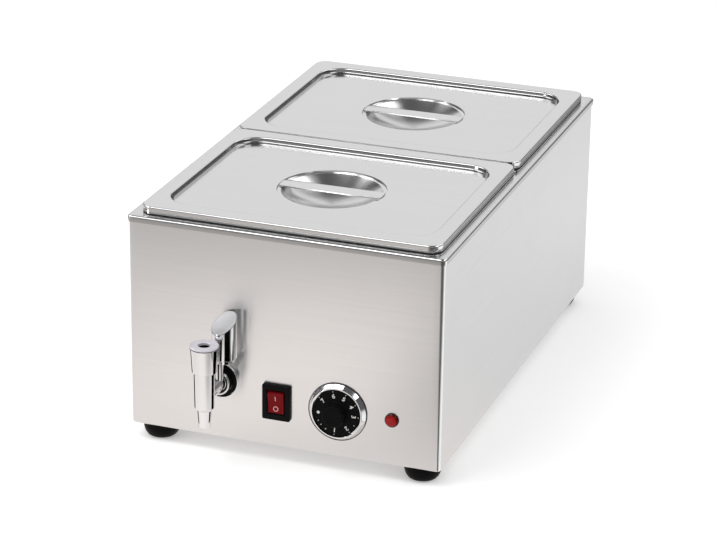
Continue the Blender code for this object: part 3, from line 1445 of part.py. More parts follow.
def make_drain():
    """The elbow from the well's floor to the tap's tail, its clip, and the strainer in the well."""
    start_z = UNDER_WELL_Z - TOUCH_GAP
    end_y = PANEL_INNER_Y + DRAIN_END_FROM_PANEL
    bend_top = TAP_Z + DRAIN_BEND
    # Stations down and round the elbow: place of the middle, and how far the tube has turned forward.
    stations = [(DRAIN_Y, start_z, 0.0)]
    for step in range(BEND_STEPS + 1):
        angle = math.pi / 2 * step / BEND_STEPS
        y = DRAIN_Y - DRAIN_BEND * (1 - math.cos(angle))
        stations.append((y, bend_top - DRAIN_BEND * math.sin(angle), angle))
    stations.append((end_y, TAP_Z, math.pi / 2))
    outlines = []
    for radius, order in ((DRAIN_PIPE_RADIUS, stations), (DRAIN_PIPE_BORE, stations[::-1])):
        for y, z, angle in order:
            turn = Matrix.Rotation(-angle, 3, "X")
            middle = Vector((TAP_X, y, z))
            ring = circle(radius, 0, SMALL_ROUND_STEPS)
            outlines.append([middle + turn @ Vector(point) for point in ring])
    bm = closed_skin(outlines)
    add_piece("drain_pipe", bm, steel("drain_steel", 0.4))
    make_drain_clip(end_y)
    make_strainer()


def make_drain_clip(end_y):
    """A worm clip that draws the pipe's end onto the tap's tail."""
    inner = DRAIN_PIPE_RADIUS + TOUCH_GAP
    band = [(inner, 0), (CLIP_RADIUS, 0), (CLIP_RADIUS, CLIP_WIDTH), (inner, CLIP_WIDTH)]
    place = (TAP_X, end_y + CLIP_WIDTH + CLIP_FROM_PIPE_END, TAP_Z)
    clip = turned("drain_clip", band, steel("clip_steel", 0.3), 20, True, True, location=place)
    bm = bmesh.new()
    half = CLIP_SCREW_LENGTH / 2
    y = -CLIP_WIDTH / 2
    low = -CLIP_RADIUS - CLIP_SCREW_RADIUS + CLIP_SCREW_SUNK
    rod(bm, CLIP_SCREW_RADIUS, (-half, y, low), (half, y, low), 12)
    screw = helper("clip_screw_shape", bm)
    screw.location = place
    combine(clip, screw, "UNION")


def make_strainer():
    """A domed disc with holes that lies over the drain."""
    low = WELL_FLOOR_Z + TOUCH_GAP
    high = low + STRAINER_HEIGHT
    profile = filleted(
        [
            (0, low, 0),
            (STRAINER_RADIUS, low, 0),
            (STRAINER_RADIUS, high, STRAINER_ROUND),
            (0, high, 0),
        ]
    )
    place = (TAP_X, DRAIN_Y, 0)
    strainer = turned("drain_strainer", profile, steel("strainer_steel", 0.3), 20, location=place)
    bm = bmesh.new()
    for x, y, _ in circle(STRAINER_HOLE_CIRCLE, 0, STRAINER_HOLES):
        rod(bm, STRAINER_HOLE, (x, y, low - CUT_OVERRUN), (x, y, high + CUT_OVERRUN), 6)
    holes = helper("strainer_holes", bm)
    holes.location = place
    combine(strainer, holes, "DIFFERENCE")


def make_heater():
    """A tubular element looped under the well, two clamps that press it there, and the cut-out."""
    z = UNDER_WELL_Z - TOUCH_GAP - ELEMENT_RADIUS
    leg = ELEMENT_LEG_X
    wide = ELEMENT_HALF_WIDTH
    corners = [
        (-leg, ELEMENT_FRONT_Y, z),
        (-wide, ELEMENT_FRONT_Y, z),
        (-wide, ELEMENT_BACK_Y, z),
        (-leg, ELEMENT_BACK_Y, z),
        (-leg, ELEMENT_FRONT_Y + 2 * ELEMENT_BEND + leg, z),
        (leg, ELEMENT_FRONT_Y + 2 * ELEMENT_BEND + leg, z),
        (leg, ELEMENT_BACK_Y, z),
        (wide, ELEMENT_BACK_Y, z),
        (wide, ELEMENT_FRONT_Y, z),
        (leg, ELEMENT_FRONT_Y, z),
    ]
    inner = bent_route(corners, ELEMENT_BEND)
    tails = []
    for side, end, nearby in ((-1, inner[0], inner[1]), (1, inner[-1], inner[-2])):
        tip = Vector((end.x, end.y, z - ELEMENT_TAIL_DROP))
        tails.append(bent_route([nearby, end, tip], ELEMENT_TAIL_BEND)[1:])
    route = tails[0][::-1] + inner[1:-1] + tails[1]
    surface = material("element_sheath", (0.30, 0.29, 0.27), 0.5, 0.9)
    wire("heating_element", route, ELEMENT_RADIUS, surface)
    for name, y in (("element_clamp_front", CLAMP_FRONT_Y), ("element_clamp_back", CLAMP_BACK_Y)):
        make_clamp(name, y, z)
    make_cutout()


def make_clamp(name, y, element_z):
    """A strip under the element's runs, its ends stepped up to the well's floor."""
    under = element_z - ELEMENT_RADIUS - TOUCH_GAP
    seat = UNDER_WELL_Z - TOUCH_GAP
    inner = ELEMENT_HALF_WIDTH + ELEMENT_RADIUS + CLAMP_SHEET
    outer = inner + CLAMP_JOG
    profile = [
        (-outer - CLAMP_FOOT, seat),
        (-outer, seat),
        (-inner, under),
        (inner, under),
        (outer, seat),
        (outer + CLAMP_FOOT, seat),
    ]
    bm = bmesh.new()
    rows = []
    for edge in (-CLAMP_WIDTH / 2, CLAMP_WIDTH / 2):
        rows.append([bm.verts.new((x, y + edge, z)) for x, z in profile])
    for i in range(len(profile) - 1):
        bm.faces.new((rows[0][i], rows[0][i + 1], rows[1][i + 1], rows[1][i]))
    turn_up(bm)
    clamp = add_piece(name, bm, steel(name + "_steel", 0.45))
    thicken(clamp, CLAMP_SHEET)


def make_cutout():
    """A disc thermostat against the well's floor, which stops the heater if the well runs dry."""
    top = UNDER_WELL_Z - TOUCH_GAP
    shoulder = top - CUTOUT_CAP_HEIGHT
    bottom = shoulder - CUTOUT_BODY_HEIGHT
    profile = [
        (0, top),
        (CUTOUT_RADIUS, top),
        (CUTOUT_RADIUS, shoulder),
        (CUTOUT_BODY_RADIUS, shoulder),
        (CUTOUT_BODY_RADIUS, bottom),
        (0, bottom),
    ]
    place = (0, CUTOUT_Y, 0)
    surface = material("cutout_phenolic", (0.05, 0.045, 0.04), 0.5, 0.0)
    cutout = turned("overheat_cutout", profile, surface, 16, location=place)
    bm = bmesh.new()
    for side in (-1, 1):
        x = side * BLADE_WIDTH
        box(
            bm,
            (x - BLADE_SHEET / 2, -BLADE_WIDTH / 2, bottom - BLADE_LENGTH),
            (x + BLADE_SHEET / 2, BLADE_WIDTH / 2, bottom + CUT_OVERRUN),
        )
    blades = helper("cutout_blades", bm)
    blades.location = place
    combine(cutout, blades, "UNION")


def make_bulb():
    """The thermostat's bulb against the well's floor, with its capillary tube led to the thermostat."""
    z = UNDER_WELL_Z - TOUCH_GAP - BULB_RADIUS
    end_x = DIAL_X + BULB_LENGTH / 2
    start_x = end_x - BULB_LENGTH
    place = panel_face(DIAL_X, CONTROL_Z)
    back_of_case = place[1] + SHEET + TOUCH_GAP + STAT_DEPTH + TOUCH_GAP
    bm = bmesh.new()
    rod(bm, BULB_RADIUS, (start_x, BULB_Y, z), (end_x, BULB_Y, z), 12)
    surface = material("bulb_copper", (0.55, 0.33, 0.22), 0.35, 1.0)
    bulb = add_piece("thermostat_bulb", bm, surface)
    route = bent_route(
        [
            (start_x + CAPILLARY_BEND, BULB_Y, z),
            (start_x - 2 * CAPILLARY_BEND, BULB_Y, z),
            (start_x - 2 * CAPILLARY_BEND, BULB_Y, z - CAPILLARY_DROP),
            (DIAL_X, BULB_Y, z - CAPILLARY_DROP),
            (DIAL_X, back_of_case, z - CAPILLARY_DROP),
        ],
        CAPILLARY_BEND,
        3,
    )
    tube = wire("capillary_route", route, CAPILLARY_RADIUS, surface, 1)
    graph = bpy.context.evaluated_depsgraph_get()
    mesh = bpy.data.meshes.new_from_object(tube.evaluated_get(graph))
    bpy.data.objects.remove(tube, do_unlink=True)
    bm = bmesh.new()
    bm.from_mesh(mesh)
    bmesh.ops.remove_doubles(bm, verts=bm.verts[:], dist=MERGE_DISTANCE)
    combine(bulb, helper("capillary_shape", bm), "UNION")
    make_saddle(z)


def make_saddle(bulb_z):
    """A spring saddle that holds the bulb up against the well's floor."""
    seat = UNDER_WELL_Z - TOUCH_GAP
    under = bulb_z - BULB_RADIUS - TOUCH_GAP
    inner = BULB_RADIUS + TOUCH_GAP
    profile = [
        (-inner - SADDLE_FOOT, seat),
        (-inner - SADDLE_SHEET, seat),
        (-inner, under),
        (inner, under),
        (inner + SADDLE_SHEET, seat),
        (inner + SADDLE_FOOT, seat),
    ]
    bm = bmesh.new()
    rows = []
    for edge in (-SADDLE_WIDTH / 2, SADDLE_WIDTH / 2):
        rows.append([bm.verts.new((DIAL_X + edge, BULB_Y + y, z)) for y, z in profile])
    for i in range(len(profile) - 1):
        bm.faces.new((rows[0][i], rows[0][i + 1], rows[1][i + 1], rows[1][i]))
    turn_up(bm)
    saddle = add_piece("bulb_saddle", bm, steel("saddle_steel", 0.3))
    thicken(saddle, SADDLE_SHEET)


def make_mains_entry():
    """The cable gland in the back panel, its locknut, the terminal block and the earth stud."""
    place = (GLAND_X, PANEL_BACK_FACE_Y, GLAND_Z)
    seat = TOUCH_GAP
    hex_top = seat + GLAND_HEX_HEIGHT
    dome_top = hex_top + GLAND_DOME_HEIGHT
    inside = -(SHEET + GLAND_INSIDE)
    dome = filleted(
        [
            (GLAND_DOME_RADIUS, hex_top, 0),
            (GLAND_DOME_RADIUS, dome_top, GLAND_DOME_ROUND),
            (GLAND_BORE, dome_top, 0),
        ]
    )
    outlines = [circle(GLAND_BORE, inside, 12), circle(GLAND_THREAD_RADIUS, inside, 12)]
    outlines += [circle(GLAND_THREAD_RADIUS, seat, 12), hexagon(GLAND_HEX_RADIUS, seat)]
    outlines += [hexagon(GLAND_HEX_RADIUS, hex_top)]
    outlines += [circle(radius, z, 12) for radius, z in dome]
    bm = closed_skin(outlines)
    face_back(bm)
    add_piece("cable_gland", bm, black("gland_nylon", 0.5), place)
    inner = GLAND_THREAD_RADIUS + TOUCH_GAP
    nut_seat = -(SHEET + TOUCH_GAP)
    outlines = [
        circle(inner, nut_seat, 12),
        hexagon(GLAND_NUT_RADIUS, nut_seat),
        hexagon(GLAND_NUT_RADIUS, nut_seat - GLAND_NUT_HEIGHT),
        circle(inner, nut_seat - GLAND_NUT_HEIGHT, 12),
    ]
    nut = ring_nut("gland_locknut", outlines, black("locknut_nylon", 0.5), place)
    nut.rotation_euler = (0, 0, math.pi)
    make_terminal_block()
    make_earth_stud()


def make_terminal_block():
    """A stepped ceramic block with a clamp screw hole and a wire hole at each pole."""
    low = PLATE_TOP_Z + TOUCH_GAP
    top = low + BLOCK_HEIGHT
    step = low + BLOCK_HEIGHT - BLOCK_STEP
    half = BLOCK_DEPTH / 2
    crown = half - BLOCK_STEP / 2
    y = CASE_BACK_Y - BLOCK_FROM_BACK
    section = [(-half, low), (half, low), (half, step), (crown, top), (-crown, top), (-half, step)]
    bm = bmesh.new()
    start = GLAND_X - BLOCK_LENGTH / 2
    face = bm.faces.new([bm.verts.new((start, y + across, z)) for across, z in section])
    grown = bmesh.ops.extrude_face_region(bm, geom=[face])["geom"]
    verts = [item for item in grown if isinstance(item, bmesh.types.BMVert)]
    bmesh.ops.translate(bm, verts=verts, vec=(BLOCK_LENGTH, 0, 0))
    bmesh.ops.recalc_face_normals(bm, faces=bm.faces[:])
    surface = material("block_ceramic", (0.78, 0.76, 0.70), 0.5, 0.0)
    block = add_piece("terminal_block", bm, surface)
    bm = bmesh.new()
    for pole in range(BLOCK_POLES):
        x = GLAND_X + (pole - (BLOCK_POLES - 1) / 2) * BLOCK_POLE_PITCH
        rod(bm, BLOCK_SCREW_HOLE, (x, y, top - BLOCK_HOLE_DEPTH), (x, y, top + CUT_OVERRUN), 8)
        wire_z = low + BLOCK_STEP
        inner_end = (x, y + half - BLOCK_HOLE_DEPTH, wire_z)
        rod(bm, BLOCK_WIRE_HOLE, inner_end, (x, y + half + CUT_OVERRUN, wire_z), 8)
    combine(block, helper("block_holes", bm), "DIFFERENCE")


def make_earth_stud():
    """The earth bolt on the bottom plate, with its nut run down."""
    low = PLATE_TOP_Z + TOUCH_GAP
    nut_top = low + M5_NUT_HEIGHT
    outlines = [
        hexagon(M5_NUT_RADIUS, low),
        hexagon(M5_NUT_RADIUS, nut_top),
        circle(M5_SHANK, nut_top, 12),
        circle(M5_SHANK, nut_top + 2 * M5_NUT_HEIGHT, 12),
    ]
    surface = material("earth_brass", (0.62, 0.46, 0.20), 0.35, 1.0)
    lofted("earth_stud", outlines, surface, location=(EARTH_X, CASE_BACK_Y - EARTH_FROM_BACK, 0))


clear_scene()
frame = bpy.data.objects.new("bain_marie", None)
bpy.context.scene.collection.objects.link(frame)
frame.location = (0, DECK_CENTRE_Y, 0)
make_water_tank()
make_back_panel(make_outer_casing())
make_bottom_plate()
make_feet()
make_back_screws()
make_support_bar()
for end, sign in (("front", -1), ("back", 1)):
    pan_place = pan_empty("pan_place_" + end, sign)
    make_pan("pan_" + end, pan_place)
    make_lid("lid_" + end, pan_place)
    make_lid_grip("lid_grip_" + end, pan_place)
make_switch()
make_dial()
make_thermostat()
make_pilot_lamp()
make_tap()
make_drain()
make_heater()
make_bulb()
make_mains_entry()
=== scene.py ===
"""The looks of a counter-top bain marie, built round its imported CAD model."""
import math

import bmesh
import bpy
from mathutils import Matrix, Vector


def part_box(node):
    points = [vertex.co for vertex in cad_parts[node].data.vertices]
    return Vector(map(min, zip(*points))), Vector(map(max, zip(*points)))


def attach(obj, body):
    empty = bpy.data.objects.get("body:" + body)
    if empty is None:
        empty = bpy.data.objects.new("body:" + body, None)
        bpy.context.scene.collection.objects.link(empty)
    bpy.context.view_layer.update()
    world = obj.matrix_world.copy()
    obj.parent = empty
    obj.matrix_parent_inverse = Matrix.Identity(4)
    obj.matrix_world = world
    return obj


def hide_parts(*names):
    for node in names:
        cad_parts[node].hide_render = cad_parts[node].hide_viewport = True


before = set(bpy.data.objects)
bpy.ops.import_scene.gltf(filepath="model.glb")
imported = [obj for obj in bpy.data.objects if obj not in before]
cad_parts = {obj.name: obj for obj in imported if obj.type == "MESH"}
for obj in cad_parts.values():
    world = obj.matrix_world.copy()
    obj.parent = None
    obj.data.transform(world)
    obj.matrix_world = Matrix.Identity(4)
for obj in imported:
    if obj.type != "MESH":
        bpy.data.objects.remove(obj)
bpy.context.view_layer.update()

# Camera: it stands to the right of the front, a little above, and looks down on the lids
# with a long lens, as in the photograph.
camera = bpy.data.objects.new("camera", bpy.data.cameras.new("camera"))
bpy.context.scene.collection.objects.link(camera)
camera.location = (0.9740, -2.7774, 1.2974)
camera.rotation_euler = [math.radians(turn) for turn in (68.214, -0.705, 19.782)]
camera.data.sensor_width = 36
camera.data.lens = 145
camera.data.clip_end = 30
bpy.context.scene.camera = camera
bpy.context.scene.view_settings.view_transform = "Standard"


# Studio: a seamless pale table under soft boxes, in a room that steel and chrome see as
# pale at the back and dim to the sides. Metal also sees a painted pool of light on the table round
# the object, with painted shade and a painted dark and a painted light sector off its front right corner.
def add_node(tree, kind, *sources, **values):
    """A node of a tree, with its inputs linked in order from the sources given."""
    node = tree.nodes.new(kind)
    for key, value in values.items():
        setattr(node, key, value)
    for socket, source in zip(node.inputs, sources):
        if isinstance(source, bpy.types.NodeSocket):
            tree.links.new(source, socket)
        else:
            socket.default_value = source
    return node


def blend_colours(tree, share, first, second):
    """The two colours mixed by a share, as a Mix node's colour output."""
    node = tree.nodes.new("ShaderNodeMix")
    node.data_type = "RGBA"
    for name, source in (("Factor_Float", share), ("A_Color", first), ("B_Color", second)):
        socket = next(s for s in node.inputs if s.identifier == name)
        if isinstance(source, bpy.types.NodeSocket):
            tree.links.new(source, socket)
        elif name == "Factor_Float":
            socket.default_value = source
        else:
            socket.default_value = (*source, 1)
    return next(s for s in node.outputs if s.identifier == "Result_Color")


def number(tree, kind, *sources):
    """The result of a Math node."""
    return add_node(tree, "ShaderNodeMath", *sources, operation=kind).outputs[0]


def times(tree, first, second):
    """The product of two numbers."""
    return number(tree, "MULTIPLY", first, second)


def ramp(tree, source, start, end, top=1.0):
    """A number that goes from 0 to `top` while its source goes from start to end."""
    return add_node(tree, "ShaderNodeMapRange", source, start, end, 0.0, top).outputs[0]


def grey(tone):
    """A colour with no hue."""
    return (tone, tone, tone)


TABLE_SIZE, GAP_BELOW = 14, 0.0003
POOL_CENTRE, POOL_NEAR, POOL_FAR = (0.1, 0.35, 0), 0.75, 1.40
MIDDLE_X, MIDDLE_NEAR, MIDDLE_REACH = -0.10, 0.03, 0.25
FRONT_PART, SHADE_ALONG, SHADE_ACROSS = (-0.30, 0.05), (-0.27, -0.42), (0.02, 0.24)
FRONT_PAPER, FRONT_SIDES = (0.95, 0.895, 0.865), (0.84, 0.793, 0.77)
SIDE_PAPER, FAR_PAPER = grey(0.735), (0.40, 0.38, 0.365)
CORNER_X, CORNER_Y = 0.171, -0.2525
SHADE_DEPTH, SHADE_TONE = 0.85, grey(0.05)
PAINTED_DARK_SECTOR, PAINTED_DARK_DEPTH = (8.0, 14.0, 52.0, 56.0), 0.92
PAINTED_LIGHT_SECTOR = (58.0, 62.0, 130.0, 140.0)
CLOSE_START, CLOSE_END, CLOSE_DEPTH = -0.55, -0.30, 0.12
PAPER_TONE, CAMERA_GLOW, METAL_GLOW, METAL_DIM = grey(0.86), 0.30, 0.83, 0.65
bpy.ops.object.select_all(action="DESELECT")
bpy.ops.mesh.primitive_plane_add(size=TABLE_SIZE, location=(0, 0, -GAP_BELOW))
bpy.ops.object.transform_apply(location=True)
table = bpy.context.object
table.name = "table"
paper = bpy.data.materials.new("table_paper")
paper.use_nodes = True
tree = paper.node_tree
tree.nodes.clear()
rays = add_node(tree, "ShaderNodeLightPath").outputs
place = add_node(tree, "ShaderNodeTexCoord").outputs["Object"]
across, along, _ = add_node(tree, "ShaderNodeSeparateXYZ", place).outputs
# Painted light for metal: the paper is paler along a middle band and in a pool round the object, and dimmer
# far off.
off_middle = number(tree, "ABSOLUTE", number(tree, "SUBTRACT", across, MIDDLE_X))
front_paper = blend_colours(tree, ramp(tree, off_middle, MIDDLE_NEAR, MIDDLE_REACH), FRONT_PAPER, FRONT_SIDES)
near_paper = blend_colours(tree, ramp(tree, along, *FRONT_PART), front_paper, SIDE_PAPER)
reach = add_node(tree, "ShaderNodeVectorMath", place, POOL_CENTRE, operation="DISTANCE").outputs["Value"]
pool = blend_colours(tree, ramp(tree, reach, POOL_NEAR, POOL_FAR), near_paper, FAR_PAPER)
# Painted shade and painted light for metal: a dark and a light sector fan out from the casing's front right
# corner, over a painted shade region before it.
to_right = number(tree, "SUBTRACT", across, CORNER_X)
to_front = number(tree, "SUBTRACT", CORNER_Y, along)
bearing = times(tree, number(tree, "ARCTAN2", to_right, to_front), 180 / math.pi)
start, full, fade, end = PAINTED_DARK_SECTOR
painted_sector = times(tree, ramp(tree, bearing, start, full, PAINTED_DARK_DEPTH), ramp(tree, bearing, end, fade))
shade = times(tree, ramp(tree, along, *SHADE_ALONG), ramp(tree, across, *SHADE_ACROSS))
shade = number(tree, "MAXIMUM", times(tree, shade, SHADE_DEPTH), painted_sector)
start, full, fade, end = PAINTED_LIGHT_SECTOR
painted_sector = times(tree, ramp(tree, bearing, start, full), ramp(tree, bearing, end, fade))
pool = blend_colours(tree, painted_sector, pool, grey(1))
# Painted shade for metal: the table is a little darker in a strip before the front.
close_by = ramp(tree, along, CLOSE_START, CLOSE_END, CLOSE_DEPTH)
close_by = times(tree, close_by, number(tree, "LESS_THAN", along, CORNER_Y))
pool = blend_colours(tree, close_by, pool, grey(0))
seen_in_metal = blend_colours(tree, shade, pool, SHADE_TONE)
glossy = rays["Is Glossy Ray"]
dim_in_metal = blend_colours(tree, METAL_DIM, seen_in_metal, grey(0))
matt = add_node(tree, "ShaderNodeBsdfDiffuse", blend_colours(tree, glossy, PAPER_TONE, dim_in_metal))
glow = number(tree, "MULTIPLY_ADD", glossy, METAL_GLOW, times(tree, rays["Is Camera Ray"], CAMERA_GLOW))
lit = add_node(tree, "ShaderNodeEmission", blend_colours(tree, glossy, grey(1), seen_in_metal), glow)
whole = add_node(tree, "ShaderNodeAddShader", matt.outputs[0], lit.outputs[0])
add_node(tree, "ShaderNodeOutputMaterial", whole.outputs[0])
table.data.materials.append(paper)

# Cards hung in the room, as (direction, cosine of full and of no effect, tone).
ROOM_CARDS = (
    ((0.22, 0.55, 0.80), 0.985, 0.955, 0.80),
    ((-0.67, 0.51, 0.52), 0.985, 0.955, 0.05),
    ((-0.58, 0.30, 0.75), 0.993, 0.975, 0.50),
)
CEILING, BACK_WALL, FRONT_WALL, OPEN_ROOM = (0.11, 0.11, 0.113), grey(0.85), grey(0.45), grey(0.62)
BAND_FOOT, BAND_HEAD, BACK_PART, FRONT_START = (0.10, 0.20), (0.66, 0.50), (0.15, 0.45), (-0.45, -0.70)
LOW_EDGE_SIDE, LOW_EDGE_HEAD, LOW_EDGE_DEPTH = (-0.22, -0.12), (0.38, 0.30), 0.85
room = bpy.data.worlds.new("room")
bpy.context.scene.world = room
room.use_nodes = True
tree = room.node_tree
tree.nodes.clear()
rays = add_node(tree, "ShaderNodeLightPath").outputs
towards = add_node(tree, "ShaderNodeTexCoord").outputs["Generated"]
sideways, behind, above = add_node(tree, "ShaderNodeSeparateXYZ", towards).outputs
band = times(tree, ramp(tree, above, *BAND_FOOT), ramp(tree, above, *BAND_HEAD))
low_edge = ramp(tree, sideways, *LOW_EDGE_SIDE, LOW_EDGE_DEPTH)
low_edge = times(tree, low_edge, ramp(tree, above, *LOW_EDGE_HEAD))
back = times(tree, ramp(tree, behind, *BACK_PART), number(tree, "SUBTRACT", 1.0, low_edge))
front = ramp(tree, behind, *FRONT_START)
walls = blend_colours(tree, times(tree, band, back), CEILING, BACK_WALL)
walls = blend_colours(tree, times(tree, band, front), walls, FRONT_WALL)
for facing, near, far, tone in ROOM_CARDS:
    likeness = add_node(tree, "ShaderNodeVectorMath", towards, facing, operation="DOT_PRODUCT")
    walls = blend_colours(tree, ramp(tree, likeness.outputs["Value"], far, near), walls, grey(tone))
open_room = blend_colours(tree, rays["Is Glossy Ray"], OPEN_ROOM, walls)
shown = blend_colours(tree, rays["Is Camera Ray"], open_room, grey(1))
sky = add_node(tree, "ShaderNodeBackground", shown, 1.0)
add_node(tree, "ShaderNodeOutputWorld", sky.outputs[0])

# Soft boxes, as (place, size, power), all turned to the object.
SOFT_BOXES = {
    "box_overhead": ((-0.45, -0.80, 1.75), 0.90, 9.0),
    "box_right": ((1.45, -0.35, 1.55), 0.90, 6.0),
    "box_left": ((-1.45, -0.25, 1.50), 1.20, 10.0),
    "box_high_back": ((0.55, 1.05, 1.65), 0.80, 3.0),
    "box_small_left": ((-0.92, -0.89, 0.48), 0.15, 1.2),
}
AIM = Vector((0, 0, 0.15))
for name, (stand, size, power) in SOFT_BOXES.items():
    lamp = bpy.data.objects.new(name, bpy.data.lights.new(name, "AREA"))
    bpy.context.scene.collection.objects.link(lamp)
    lamp.location = stand
    lamp.rotation_euler = (Vector(stand) - AIM).to_track_quat("Z", "Y").to_euler()
    lamp.data.shape = "SQUARE"
    lamp.data.size = size
    lamp.data.energy = power

# Water tank and deck: one deep pressing of satin stainless sheet. Its rim is rolled over a
# short skirt, which sits over the casing, and its mouth carries the pans.
NEAR, MERGE = 0.00001, 0.000001


def set_apart():
    """Ends the shaping of a piece and leaves nothing selected."""
    if bpy.context.object and bpy.context.object.mode != "OBJECT":
        bpy.ops.object.mode_set(mode="OBJECT")
    bpy.ops.object.select_all(action="DESELECT")


def begin(name):
    """An empty piece, opened for shaping."""
    set_apart()
    piece = bpy.data.objects.new(name, bpy.data.meshes.new(name))
    bpy.context.scene.collection.objects.link(piece)
    bpy.context.view_layer.objects.active = piece
    piece.select_set(True)
    bpy.ops.object.mode_set(mode="EDIT")
    return piece


def pick(test):
    """Selects the points that pass the test, with the edges and faces between them."""
    bpy.ops.mesh.select_all(action="DESELECT")
    mesh = bpy.context.object.data
    shape = bmesh.from_edit_mesh(mesh)
    for point in shape.verts:
        if test(point.co):
            point.select_set(True)
    shape.select_flush(True)
    bmesh.update_edit_mesh(mesh)


def at_height(height):
    """A test for points at a height."""
    return lambda point: abs(point.z - height) < NEAR


def blank(wide, long, corner, middle, steps=8):
    """Adds a flat sheet with round corners, facing up and selected."""
    bpy.ops.mesh.select_all(action="DESELECT")
    bpy.ops.mesh.primitive_plane_add(size=1, location=middle)
    bpy.ops.transform.resize(value=(wide, long, 1), center_override=middle)
    bpy.ops.mesh.bevel(offset=corner, offset_type="ABSOLUTE", segments=steps, affect="VERTICES")


def bend(inward, height, radius, start, end, steps=6):
    """Points of an arc in a section, about a centre, with its turns in degrees."""
    turns = [math.radians(start + (end - start) * step / steps) for step in range(steps + 1)]
    return [(inward + radius * math.cos(turn), height + radius * math.sin(turn)) for turn in turns]


def raise_by(rise):
    """Extrudes what is selected straight up."""
    bpy.ops.mesh.extrude_region_move(TRANSFORM_OT_translate={"value": (0, 0, rise)})


def follow(section):
    """Carries the selected face along a section of (inward, height) points from the first."""
    for (inward, height), (next_inward, next_height) in zip(section, section[1:]):
        inset, rise = next_inward - inward, next_height - height
        if inset < MERGE / 10:
            raise_by(rise)
        else:
            bpy.ops.mesh.inset(thickness=inset, depth=rise)


def open_face():
    """Takes the selected face out and leaves its edge."""
    bpy.ops.mesh.delete(type="ONLY_FACE")


def open_foot(height):
    """Takes out the flat face that a shape began with, at its foot."""
    pick(at_height(height))
    open_face()


def join_edges(test):
    """Closes the sheet between two edges, whose points pass the test."""
    pick(test)
    bpy.ops.mesh.bridge_edge_loops()


def give_thickness(sheet, thickness, rank=lambda face: face.calc_center_median().z, outward=(0, 0, 1)):
    """Gives a sheet its thickness, away from the side that its top ranking face shows."""
    bpy.ops.mesh.select_all(action="SELECT")
    bpy.ops.mesh.remove_doubles(threshold=MERGE)
    bpy.ops.mesh.normals_make_consistent(inside=False)
    shape = bmesh.from_edit_mesh(sheet.data)
    if max(shape.faces, key=rank).normal.dot(Vector(outward)) < 0:
        bpy.ops.mesh.flip_normals()
    bpy.ops.object.mode_set(mode="OBJECT")
    solid = sheet.modifiers.new("sheet", "SOLIDIFY")
    solid.thickness = thickness
    solid.offset = -1
    solid.use_even_offset = True
    bpy.ops.object.modifier_apply(modifier="sheet")


def settle(piece, place, turn=(0, 0, 0)):
    """Puts a piece in its place, and the place into its mesh."""
    set_apart()
    bpy.context.view_layer.objects.active = piece
    piece.select_set(True)
    piece.rotation_euler = turn
    piece.location = place
    bpy.ops.object.transform_apply(location=True, rotation=True, scale=True)


def hand_over(piece, material, body="appliance", nodes=(), place=(0, 0, 0), turn=(0, 0, 0), sharp=30):
    """Ends a piece: it is put in its place, its edges are smoothed, and it gets its finish."""
    settle(piece, place, turn)
    bpy.ops.object.shade_smooth_by_angle(angle=math.radians(sharp))
    piece.data.materials.append(material)
    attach(piece, body)
    if nodes:
        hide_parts(*nodes)


def refinish(piece, material, test):
    """Gives the faces that pass the test another finish."""
    piece.data.materials.append(material)
    for face in piece.data.polygons:
        if test(face):
            face.material_index = len(piece.data.materials) - 1


def speckle(tree, place, scale, detail=2.0, distortion=0.0):
    """Noise over a surface."""
    noise = add_node(tree, "ShaderNodeTexNoise", place)
    noise.inputs["Scale"].default_value = scale
    noise.inputs["Detail"].default_value = detail
    noise.inputs["Distortion"].default_value = distortion
    return noise.outputs["Fac"]


VALUE, COLOUR, VECTOR = "NodeSocketFloat", "NodeSocketColor", "NodeSocketVector"


def new_group(name, inputs, outputs):
    """A shader node group with a vector, other named inputs, and named outputs."""
    group = bpy.data.node_groups.new(name, "ShaderNodeTree")
    group.interface.new_socket("Vector", in_out="INPUT", socket_type=VECTOR)
    for label, kind, start in inputs:
        socket = group.interface.new_socket(label, in_out="INPUT", socket_type=kind)
        socket.default_value = start
    for label, kind in outputs:
        group.interface.new_socket(label, in_out="OUTPUT", socket_type=kind)
    given = group.nodes.new("NodeGroupInput").outputs
    return group, given, group.nodes.new("NodeGroupOutput").inputs


# Brushed grain: fine scratches over long faint bands, all one way.
BAND_SCALE, SCRATCH_SHARE, BAND_SHARE = 0.12, 0.65, 0.35
grain, given, result = new_group(
    "brushed_grain",
    (
        ("Colour", COLOUR, (0.7, 0.7, 0.7, 1)),
        ("Scratch Colour", COLOUR, (0.6, 0.6, 0.6, 1)),
        ("Roughness", VALUE, 0.3),
        ("Spread", VALUE, 0.1),
    ),
    (("Colour", COLOUR), ("Roughness", VALUE), ("Height", VALUE)),
)
scratches = ramp(grain, speckle(grain, given["Vector"], 1.0, 3.0), 0.35, 0.65)
stretched = add_node(grain, "ShaderNodeVectorMath", given["Vector"], operation="SCALE")
stretched.inputs["Scale"].default_value = BAND_SCALE
bands = ramp(grain, speckle(grain, stretched.outputs[0], 1.0), 0.3, 0.7)
both = number(grain, "MULTIPLY_ADD", scratches, SCRATCH_SHARE, times(grain, bands, BAND_SHARE))
rougher = times(grain, number(grain, "SUBTRACT", 0.5, both), given["Spread"])
streaked = blend_colours(grain, both, given["Scratch Colour"], given["Colour"])
grain.links.new(streaked, result["Colour"])
grain.links.new(number(grain, "ADD", rougher, given["Roughness"]), result["Roughness"])
grain.links.new(scratches, result["Height"])

# Handling marks: smudges and wiped patches that dull the shine a little.
marks, given, result = new_group(
    "handling_marks",
    (("Roughness", VALUE, 0.3), ("Amount", VALUE, 0.05)),
    (("Roughness", VALUE), ("Mask", VALUE)),
)
smudged = ramp(marks, speckle(marks, given["Vector"], 14.0, 5.0, 0.6), 0.45, 0.72)
duller = times(marks, smudged, given["Amount"])
marks.links.new(number(marks, "ADD", duller, given["Roughness"]), result["Roughness"])
marks.links.new(smudged, result["Mask"])

